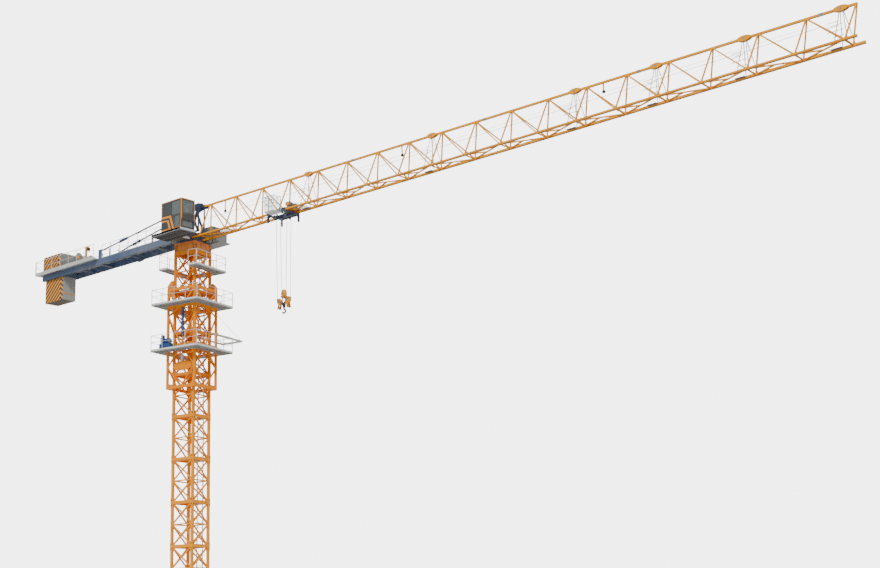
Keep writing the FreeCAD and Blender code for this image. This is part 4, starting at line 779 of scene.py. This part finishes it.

# ---------------------------------------------------------------- cab balcony
# The cab stands on a floor of open steel, framed underneath with channel. A neck joins it
# to the slewing platform.

# Painted shade: the balcony floor's faces that look down turn near black.
balcony_steel = paint("balcony_deck", (0.90, 0.92, 0.92), rough=0.6, grime=0.25, fade=0.04, size=1.6,
                      underside_shade=(0.10, 0.105, 0.11))
dark_framing = paint("balcony_framing", (0.09, 0.095, 0.10), rough=0.7, grime=0.4, fade=0.04, size=2.0)
dress(balcony_steel, "cab_balcony")
balcony_parts = []
for y in (-1.372, -1.06, -0.75):
    balcony_parts.append(block((-0.42, y - 0.012, 13.545), (0.96, y + 0.012, 13.58), 0.003))
for x in np.arange(-0.41, 0.97, 0.17):
    balcony_parts.append(block((x - 0.01, -1.37, 13.55), (x + 0.01, -0.75, 13.58), 0.003))
put("balcony_frame", balcony_parts, dark_framing, "upper_works")
edge_parts = [block((-0.43, -1.385, 13.585), (0.97, -1.381, 13.652)),
              block((0.968, -1.38, 13.585), (0.974, -0.74, 13.652))]
put("balcony_edge", edge_parts, rail_white, "upper_works")

# ---------------------------------------------------------------- switch cabinets
# Grey steel cabinets for the drives stand on a shelf across from the cab. Each has a framed
# door with a lock and hinges, and louvres for cooling.

cabinet_paint = paint("cabinet_grey", (0.22, 0.25, 0.27), rough=0.5, grime=0.3, streaks=0.4, chips=0.76,
                      fade=0.08, size=2.0)
dress(cabinet_paint, "switch_cabinets")
cabinet_parts, louvres = [], []
for x0, x1, top in ((-0.05, 0.469, 14.147), (0.503, 0.80, 13.847)):
    for y, out in ((0.791, 0.006), (0.399 if x0 < 0 else 0.439, 0.006)):
        middle = (x0 + x1) / 2
        for low, high in ((x0 + 0.02, middle - 0.006), (middle + 0.006, x1 - 0.02)):
            cabinet_parts.append(block((low, y - 0.004, 13.57), (high, y + 0.005, top - 0.02), 0.003))
        for lift in np.arange(13.60, 13.60 + (top - 13.62) * 0.35, 0.022):
            louvres.append(block((x0 + 0.05, y - 0.008, lift), (x0 + 0.17, y + 0.009, lift + 0.009), 0.002))
put("cabinet_doors", cabinet_parts, cabinet_paint, "upper_works")
put("cabinet_louvres", louvres, frame_grey, "upper_works")

# ---------------------------------------------------------------- jib
# A lattice of three chords in seven lengths. Each length is pinned to the next with lens-shaped
# eye plates on the top chord and an upright end frame below it.

# Painted shade: the jib's faces that look down turn dark brown.
jib_paint = paint("jib_amber", (1.0, 0.42, 0.0), dirt=RUST_DIRT, grime=0.18, streaks=0.15, chips=0.8,
                  fade=0.02, shine=FLAT, underside_shade=(0.40, 0.15, 0.008))
dress(jib_paint, "jib_top_chord", "jib_near_side", "jib_far_side")
# Painted shade: the lower jib's faces that look down turn very dark brown.
jib_low_paint = paint("jib_lower_amber", (0.98, 0.38, 0.0), dirt=RUST_DIRT, grime=0.22, streaks=0.2,
                      chips=0.79, fade=0.02, shine=FLAT, underside_shade=(0.20, 0.07, 0.010))
dress(jib_low_paint, "jib_bottom")


def top_chord(x):
    """The height of the top chord's middle line at a distance along the jib."""
    return 14.722 - 0.0082 * np.asarray(x, float)


CHORD_Y, CHORD_Z = 0.243, 13.65
JOINTS_X = (5.47, 10.5, 15.5, 18.0, 20.5, 23.0)
eye_parts, eye_pins, end_frames = [], [], []
swing = np.linspace(0, 2 * math.pi, 20, endpoint=False)
for x in JOINTS_X:
    z = float(top_chord(x))
    lens = np.stack([x + 0.20 * np.cos(swing),
                     z + 0.074 * np.sign(np.sin(swing)) * np.abs(np.sin(swing)) ** 1.3], axis=1)
    for low, high in ((-0.052, -0.032), (0.032, 0.052)):
        eye_parts.append(plate(lens, "y", low, high))
    eye_parts.append(block((x - 0.13, -0.035, z - 0.045), (x + 0.13, 0.035, z + 0.045), 0.01))
    eye_pins.append(turned([(0.026, -0.062), (0.03, -0.054), (0.03, 0.054), (0.026, 0.062)], (x, 0, z),
                           (0, 1, 0), 16))
    eye_parts += [block((x - 0.11, side * CHORD_Y - 0.036, 13.614),
                        (x + 0.11, side * CHORD_Y + 0.036, 13.686), 0.01) for side in (-1, 1)]
    for side in (-1, 1):
        for step in (-0.16, 0.16):
            end_frames.append(stock(disc(0.011, 8), (x + step * 0.25, side * 0.02, z - 0.04),
                                    (x + step, side * (CHORD_Y - 0.01), CHORD_Z), (0, 1, 0)))
    for level in (14.21, 14.08, 13.95):
        share = (z - level) / (z - CHORD_Z)
        for side in (-1, 1):
            end_frames.append(stock(disc(0.008, 8), (x - 0.34, side * CHORD_Y * share, level),
                                    (x - 0.05, side * CHORD_Y * share, level), (0, 0, 1)))
put("jib_eye_plates", eye_parts, jib_paint, "upper_works")
put("jib_eye_pins", eye_pins, zinc, "upper_works")
put("jib_end_frames", end_frames, paint("end_frame_pale", (0.62, 0.42, 0.30), grime=0.3, size=2.0),
    "upper_works")

node_x = 0.6 + 1.25 * np.arange(19)
crown_x = 0.88 + 1.25 * np.arange(18)
gusset_parts = []
for side in (-1, 1):
    foot = np.stack([node_x - 0.07, np.full(19, side * CHORD_Y), np.full(19, 13.688)], axis=1)
    gusset_parts.append(stock(slab(0.012, 0.024, 0.003), foot, foot + [0.14, 0, 0], (0, 0, 1)))
crown = np.stack([crown_x - 0.06, np.zeros(18), top_chord(crown_x) - 0.036], axis=1)
gusset_parts.append(stock(slab(0.05, 0.014, 0.003), crown, crown + [0.12, 0, 0], (0, 0, 1)))
put("jib_gussets", gusset_parts, jib_paint, "upper_works")

clamp_parts = [block((x - 0.05, -0.035, float(top_chord(x)) - 0.035),
                     (x + 0.05, 0.035, float(top_chord(x)) + 0.036), 0.008)
               for x in (7.375, 12.44, 17.49, 22.5)]
put("chord_clamps", clamp_parts, zinc, "upper_works")
hangers, hanger_ends = [], []
for x in (9.34, 16.39, 1.6):
    hangers.append(block((x - 0.018, -0.012, 14.36), (x + 0.018, 0.012, float(top_chord(x)) - 0.03), 0.004))
    hanger_ends.append(turned([(0.034, -0.024), (0.046, -0.02), (0.046, 0.02), (0.034, 0.024)], (x, 0, 14.33),
                              (0, 1, 0), 18))
put("rope_hangers", hangers, jib_paint, "upper_works")
put("rope_rollers", hanger_ends, black_steel, "upper_works")

walk_parts = []
for x0, x1 in ((0.62, 1.88), (4.93, 5.36)):
    for y in np.arange(-0.2, 0.21, 0.05):
        walk_parts.append(block((x0, y - 0.004, 13.655), (x1, y + 0.004, 13.665), 0.001))
    for x in np.arange(x0, x1, 0.06):
        walk_parts.append(block((x - 0.004, -0.21, 13.653), (x + 0.004, 0.21, 13.661), 0.001))
walk_parts += [block((x - 0.42, 0.10, 13.645), (x - 0.14, 0.225, 13.655), 0.002) for x in JOINTS_X]
brown_steel = paint("walkway_brown", (0.12, 0.06, 0.03), rough=0.75, grime=0.5, size=2.0)
put("jib_walkway", walk_parts, brown_steel, "upper_works")


def sagging(start, end, drop, radius, strands=12):
    """A rope that hangs in a shallow arc, closed at its ends.

    Its middle line is the straight line less 4 * drop * t * (1 - t) in height."""
    t = np.linspace(0, 1, strands + 1)[:, None]
    line = np.asarray(start) + (np.asarray(end) - np.asarray(start)) * t
    line = line - [0, 0, 4 * drop] * (t * (1 - t))
    return [stock(disc(radius, 8), line[:-1], line[1:], (0, 1, 0))]


rope_brown = paint("jib_rope", (0.20, 0.16, 0.13), rough=0.6, metallic=0.4, grime=0.3, size=8.0)
rope_pale = paint("guide_rope", (0.50, 0.52, 0.53), rough=0.5, metallic=0.5, grime=0.2, size=8.0)
put("travel_rope", sagging((0.63, 0.0, 14.265), (11.5, 0.0, 14.215), 0.02, 0.006)
    + sagging((11.5, 0.0, 14.215), (22.5, 0.0, 14.225), 0.02, 0.006), rope_brown, "upper_works")
put("signal_rope", sagging((1.9, 0.05, 14.42), (22.0, 0.05, 14.345), 0.04, 0.004, 24), rope_pale,
    "upper_works")

# ---------------------------------------------------------------- trolley winch
# The winch that pulls the trolley sits in the jib: a rope drum between flanges, turned by a
# motor with an orange cover.

dress(machine, "trolley_winch", "hoist_winch")
WINCH_X, WINCH_Z = 4.72, 13.825
winch_parts = [collars([(WINCH_X, y, WINCH_Z) for y in np.arange(-0.145, 0.146, 0.014)], 0.081, 0.013,
                       (0, 1, 0), 24)]
put("travel_winding", winch_parts, rope_brown, "upper_works")
winch_motor = turned([(0.06, 0), (0.075, 0.01), (0.075, 0.06), (0.045, 0.07)],
                     (WINCH_X, -0.175, WINCH_Z), (0, -1, 0), 24)
put("travel_motor", [winch_motor], cab_orange, "upper_works")

# ---------------------------------------------------------------- counter-jib
# Two deep girders carry the deck, the hoist winch and the counterweight. Cross ties, splices
# and lugs are welded and bolted to them.

tie_parts = [stock(slab(0.02, 0.03, 0.003), (x, -0.29, 13.665), (x, 0.29, 13.665), (0, 0, 1))
             for x in np.arange(-7.7, -0.6, 0.62)
             if not -7.0 < x < -6.8]
SPLICE_X = -2.6
tie_parts += [block((SPLICE_X - 0.1, side * 0.3655 - 0.004, 13.66),
                    (SPLICE_X + 0.1, side * 0.3655 + 0.004, 13.855), 0.002)
              for side in (-1, 1)]
for side in (-1, 1):
    tie_parts += [block((x - 0.006, side * 0.352 - 0.01, 13.665), (x + 0.006, side * 0.352 + 0.01, 13.85),
                        0.002)
                  for x in np.arange(-7.4, -0.7, 0.8)]
tie_parts.append(plate([(-3.36, 13.65), (-2.94, 13.65), (-3.0, 13.612), (-3.2, 13.585), (-3.3, 13.612)], "y",
                       0.30, 0.32))
put("girder_details", tie_parts, navy_girder, "upper_works")
BOLT_HEAD = [(0.009, 0), (0.009, 0.006), (0.006, 0.008)]
splice_bolts = np.array([(SPLICE_X + x, 0.3695, z) for x in (-0.07, -0.03, 0.03, 0.07)
                         for z in (13.69, 13.75, 13.81)])
put("splice_bolts", [turned(BOLT_HEAD, splice_bolts * [1, side, 1], (0, side, 0), 6) for side in (-1, 1)],
    zinc, "upper_works")
post_parts = [block((-5.49, -0.34, 13.905), (-5.43, -0.28, 14.46), 0.006),
              block((-5.47, -0.34, 14.43), (-5.30, -0.30, 14.47), 0.006),
              stock(slab(0.035, 0.02, 0.004), (-4.60, -0.2, 13.9), (-4.66, -0.2, 14.1), (0, 1, 0))]
put("rope_post", post_parts, cab_orange, "upper_works")
guide_sheave = turned([(0.02, -0.03), (0.07, -0.026), (0.055, -0.012), (0.055, 0.012),
                       (0.07, 0.026), (0.02, 0.03)], (-5.335, -0.30, 14.37), (0, 1, 0), 24)
put("rope_guide_sheave", [guide_sheave], black_steel, "upper_works")
deck_posts = [block((x - 0.018, -0.372, 13.86), (x + 0.018, -0.334, 14.13), 0.004) for x in (-4.03, -1.705)]
put("walkway_posts", deck_posts, navy, "upper_works")

# ---------------------------------------------------------------- counterweight
# Cast concrete slabs hang in the rear opening of the counter-jib. Their broad faces are
# painted with orange and navy warning stripes, and the rest is bare concrete, with painted
# shade on the faces that look down.


def stripes_group():
    """Slanting warning stripes on faces that look sideways.

    The stripe is a square wave of z + 0.91 * x; past the Split it is one of z - 0.91 * x, so the
    two fields meet in a chevron. Side is 1 where the face looks along Y."""
    group, given, result = new_group("warning_stripes", [("Pitch", 0.175), ("Split", -6.99)],
                                     [("Stripe", "NodeSocketFloat"), ("Side", "NodeSocketFloat")])
    nodes, links = group.nodes, group.links

    def sum_of(operation, first, second=None):
        node = nodes.new("ShaderNodeMath")
        node.operation = operation
        for socket, value in zip(node.inputs, (first, second)):
            if isinstance(value, (int, float)):
                socket.default_value = value
            elif value is not None:
                links.new(value, socket)
        return node.outputs["Value"]

    place = nodes.new("ShaderNodeTexCoord")
    spot, facing = nodes.new("ShaderNodeSeparateXYZ"), nodes.new("ShaderNodeSeparateXYZ")
    links.new(place.outputs["Object"], spot.inputs["Vector"])
    links.new(place.outputs["Normal"], facing.inputs["Vector"])
    offset = sum_of("SUBTRACT", spot.outputs["X"], given.outputs["Split"])
    folded = sum_of("ABSOLUTE", offset)
    slope = sum_of("DIVIDE", sum_of("ADD", sum_of("MULTIPLY", folded, 0.91), spot.outputs["Z"]),
                   given.outputs["Pitch"])
    wave = sum_of("FRACT", slope)
    links.new(sum_of("GREATER_THAN", wave, 0.5), result.inputs["Stripe"])
    links.new(sum_of("GREATER_THAN", sum_of("ABSOLUTE", facing.outputs["Y"]), 0.6), result.inputs["Side"])
    return group


# Painted shade: the slabs' faces that look down turn dark brown.
weight_paint = paint("counterweight_concrete", (0.30, 0.31, 0.30), rough=0.85, grime=0.45, streaks=0.5,
                     chips=0.8, size=1.2, bump=0.4, underside_shade=(0.10, 0.075, 0.055))
weight_nodes, weight_links = weight_paint.node_tree.nodes, weight_paint.node_tree.links
striping = weight_nodes.new("ShaderNodeGroup")
striping.node_tree = stripes_group()
bare = weight_nodes["Principled BSDF"].inputs["Base Color"].links[0].from_socket
striped = mixed(weight_nodes, weight_links, striping.outputs["Stripe"], (0.98, 0.38, 0.0),
                (0.022, 0.036, 0.07))
finished = mixed(weight_nodes, weight_links, striping.outputs["Side"], bare, striped)
weight_links.new(finished, weight_nodes["Principled BSDF"].inputs["Base Color"])
dress(weight_paint, "counterweight")

slab_lines = []
for x in np.arange(-7.76, -6.95, 0.15):
    slab_lines.append(block((x - 0.004, -0.285, 12.82), (x + 0.004, 0.285, 12.85), 0.001))
slab_lines.append(block((-6.852, -0.27, 13.04), (-6.835, 0.27, 13.06), 0.003))
put("weight_ledge", slab_lines, cab_orange, "upper_works")

# ---------------------------------------------------------------- hoist winch
# The hoist rope is wound on a grooved drum. A finned motor drives it through a gearbox, with
# a brake on the far end.

DRUM_X, DRUM_Z = -6.004, 14.17
drum_turns = np.arange(-0.17, 0.171, 0.0125)
put("hoist_winding", [collars([(DRUM_X, y, DRUM_Z) for y in drum_turns], 0.142, 0.0118, (0, 1, 0), 32)],
    rope_pale, "upper_works")
put("hoist_motor_fins",
    [collars([(-6.42, y, 14.06) for y in np.arange(-0.18, 0.19, 0.02)], 0.105, 0.008, (0, 1, 0), 24)],
    machine, "upper_works")
put("hoist_covers",
    [turned([(0.07, 0), (0.09, 0.008), (0.09, 0.03), (0.05, 0.04)], [(DRUM_X, side * 0.245, DRUM_Z)],
            (0, side, 0), 20)
                     for side in (-1, 1)], cab_orange, "upper_works")

# ---------------------------------------------------------------- trolley
# The trolley runs on the bottom chords' lower flanges. Its frame carries the rope sheaves, a
# pair of wheels at each corner, and a basket for a fitter.

wheel_parts = []
for x in (4.0, 4.66):
    for side in (-1, 1):
        wheel_parts.append(turned([(0.03, 0), (0.035, 0.006), (0.035, 0.03), (0.02, 0.034)],
                                  [(x, side * 0.288, 13.665)], (0, side, 0), 18))
put("trolley_wheels", wheel_parts, black_steel, "trolley")
SHEAVE = [(0.018, -0.012), (0.06, -0.012), (0.048, -0.004), (0.048, 0.004), (0.06, 0.012), (0.018, 0.012)]
sheave_parts = [turned(SHEAVE, [(x, y, 13.545)], (0, 1, 0), 22) for x in (4.09, 4.57)
                for y in (-0.155, 0.155)]
put("trolley_sheaves", sheave_parts, machine, "trolley")
frame_parts = [block((x - 0.02, side * 0.28 - 0.02, 13.50), (x + 0.02, side * 0.28 + 0.02, 13.56), 0.003)
               for x in (3.97, 4.33, 4.69) for side in (-1, 1)]
frame_parts.append(block((4.70, -0.31, 13.56), (4.728, 0.31, 13.60), 0.004))
put("trolley_lugs", frame_parts, navy, "trolley")

WIRE, WIRE_GAP = disc(0.003, 6), 0.035
BASKET_X, BASKET_Y = (4.155, 4.545), (-0.645, -0.33)
uprights = [(x, BASKET_Y[0]) for x in np.arange(4.18, 4.55, WIRE_GAP)]
uprights += [(x, y) for x in BASKET_X for y in np.arange(-0.63, -0.33, WIRE_GAP)]
mesh_parts = [stock(WIRE, (x, y, 13.57), (x, y, 14.06), (0, 1, 0)) for x, y in uprights]
for z in np.arange(13.60, 14.06, WIRE_GAP):
    mesh_parts.append(stock(WIRE, (BASKET_X[0], BASKET_Y[0], z), (BASKET_X[1], BASKET_Y[0], z), (0, 1, 0)))
    mesh_parts += [stock(WIRE, (x, BASKET_Y[0], z), (x, BASKET_Y[1], z), (1, 0, 0)) for x in BASKET_X]
dress(rail_white, "trolley_basket")
put("basket_mesh", mesh_parts, rail_white, "trolley")

# ---------------------------------------------------------------- hoist ropes
# Four falls of steel wire rope run from the trolley's sheaves to the hook block.

rope_wire = paint("hoist_rope", (0.50, 0.52, 0.54), rough=0.45, metallic=0.7, grime=0.3, fade=0.0, size=10.0)
BLOCK_X, ROPE_TOP, UPPER_SHEAVE = 4.33, 13.5, 11.03
outer_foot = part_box("hoist_ropes")[0][2]
FALLS = [(side * top, side * foot, level) for side in (-1, 1)
         for top, foot, level in ((0.335, 0.285, outer_foot), (0.155, 0.09, UPPER_SHEAVE))]
fall_tops = [(BLOCK_X + top, 0, ROPE_TOP) for top, foot, level in FALLS]
fall_feet = [(BLOCK_X + foot, 0, level) for top, foot, level in FALLS]
falls = put("rope_falls", [stock(disc(0.009, 8), fall_tops, fall_feet, (0, 1, 0))], rope_wire, None)
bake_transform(falls)
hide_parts("hoist_ropes")

# ---------------------------------------------------------------- hook block
# Orange plates enclose the sheaves. A navy frame and a crosshead join them to the swivel, and
# the black forged hook turns beneath it.

block_paint = paint("block_orange", (0.95, 0.33, 0.0), shine=FLAT, dirt=RUST_DIRT, grime=0.25, streaks=0.25,
                    chips=0.76, size=3.0)
block_deep = paint("block_guard", (0.62, 0.19, 0.006), dirt=RUST_DIRT, grime=0.4, streaks=0.3, chips=0.74,
                   size=3.0)
dress(block_paint, "hook_block")
dress(black_steel, "hook")
FACE, LOWER_SHEAVE = 0.055, 10.80


def shell(centre, half, tilt, depth=FACE):
    """A domed sheave cover in the XZ plane, closed at both faces.

    Each level's outline is a tilted ellipse, (half x * cos a, half z * sin a), scaled by the
    level's share; the shares fall off towards the faces, so the edges are round."""
    angle = np.linspace(0, 2 * math.pi, 28, endpoint=False)
    ellipse = np.stack([half[0] * np.cos(angle), half[1] * np.sin(angle)], axis=1)
    turn = np.array([[math.cos(tilt), math.sin(tilt)], [-math.sin(tilt), math.cos(tilt)]])
    shares = np.array([0.80, 0.94, 1.0, 1.0, 0.94, 0.80])
    levels = np.array([-1.0, -0.9, -0.7, 0.7, 0.9, 1.0]) * depth
    outline = ellipse @ turn.T
    rings = outline[None] * shares[:, None, None]
    points = np.stack([rings[..., 0] + centre[0], np.broadcast_to(levels[:, None], rings.shape[:2]),
                       rings[..., 1] + centre[1]], axis=2)
    here = np.arange(28)
    after = (here + 1) % 28
    level = (np.arange(5) * 28)[:, None]
    walls = np.stack([level + here, level + 28 + here, level + 28 + after, level + after], 2).reshape(-1, 4)
    return points.reshape(-1, 3), [walls, np.stack([here, here[::-1] + 5 * 28])]


cover_parts = [shell((BLOCK_X, UPPER_SHEAVE), (0.095, 0.142), 0.0)]
guard_parts, bar_parts, hub_parts = [], [], []
for side in (-1, 1):
    centre = BLOCK_X + side * 0.19
    cover_parts.append(shell((centre, LOWER_SHEAVE), (0.082, 0.125), side * 0.42))
    flare = [(centre - 0.035, 10.70), (centre + 0.035, 10.70), (centre + 0.055 + side * 0.02, 10.56),
             (centre - 0.055 + side * 0.02, 10.56)]
    guard_parts += [plate(flare, "y", low, low + 0.008) for low in (-0.05, 0.042)]
    guard_parts.append(block((centre - 0.04 + side * 0.01, -0.05, 10.62),
                             (centre + 0.04 + side * 0.01, 0.05, 10.64), 0.004))
    for out in (-1, 1):
        face = out * (FACE + 0.004)
        bar_parts.append(stock(slab(0.034, 0.012, 0.003), (BLOCK_X + side * 0.265, face, 10.885),
                               (BLOCK_X + side * 0.03, face, 10.715), (0, 1, 0)))
        bar_parts.append(stock(slab(0.03, 0.012, 0.003), (BLOCK_X + side * 0.085, face, 10.955),
                               (BLOCK_X, face, 10.865), (0, 1, 0)))
        hub_parts.append(turned([(0.02, 0), (0.028, 0.004), (0.028, 0.012), (0.018, 0.016)],
                                (centre, out * FACE, LOWER_SHEAVE), (0, out, 0), 16))
for out in (-1, 1):
    face = out * (FACE + 0.004)
    bar_parts.append(stock(slab(0.032, 0.012, 0.003), (BLOCK_X, face, 10.88), (BLOCK_X, face, 10.68),
                           (0, 1, 0)))
    hub_parts.append(turned([(0.024, 0), (0.032, 0.004), (0.032, 0.012), (0.02, 0.016)],
                            (BLOCK_X, out * FACE, UPPER_SHEAVE), (0, out, 0), 18))
cover_parts.append(block((BLOCK_X - 0.19, -0.03, 10.70), (BLOCK_X + 0.19, 0.03, 10.76), 0.01))
cover = put("block_covers", cover_parts, block_paint, "hook_block", 50)
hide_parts("hook_block")
put("block_rope_guards", guard_parts, block_deep, "hook_block")
put("block_frame", bar_parts, navy, "hook_block")
put("block_hubs", hub_parts, zinc, "hook_block")
put("block_swivel",
    [turned([(0.03, 0), (0.052, 0.008), (0.058, 0.05), (0.05, 0.07), (0.03, 0.075)], (BLOCK_X, 0, 10.64),
            (0, 0, 1), 24)],
    black_steel, "hook_block")
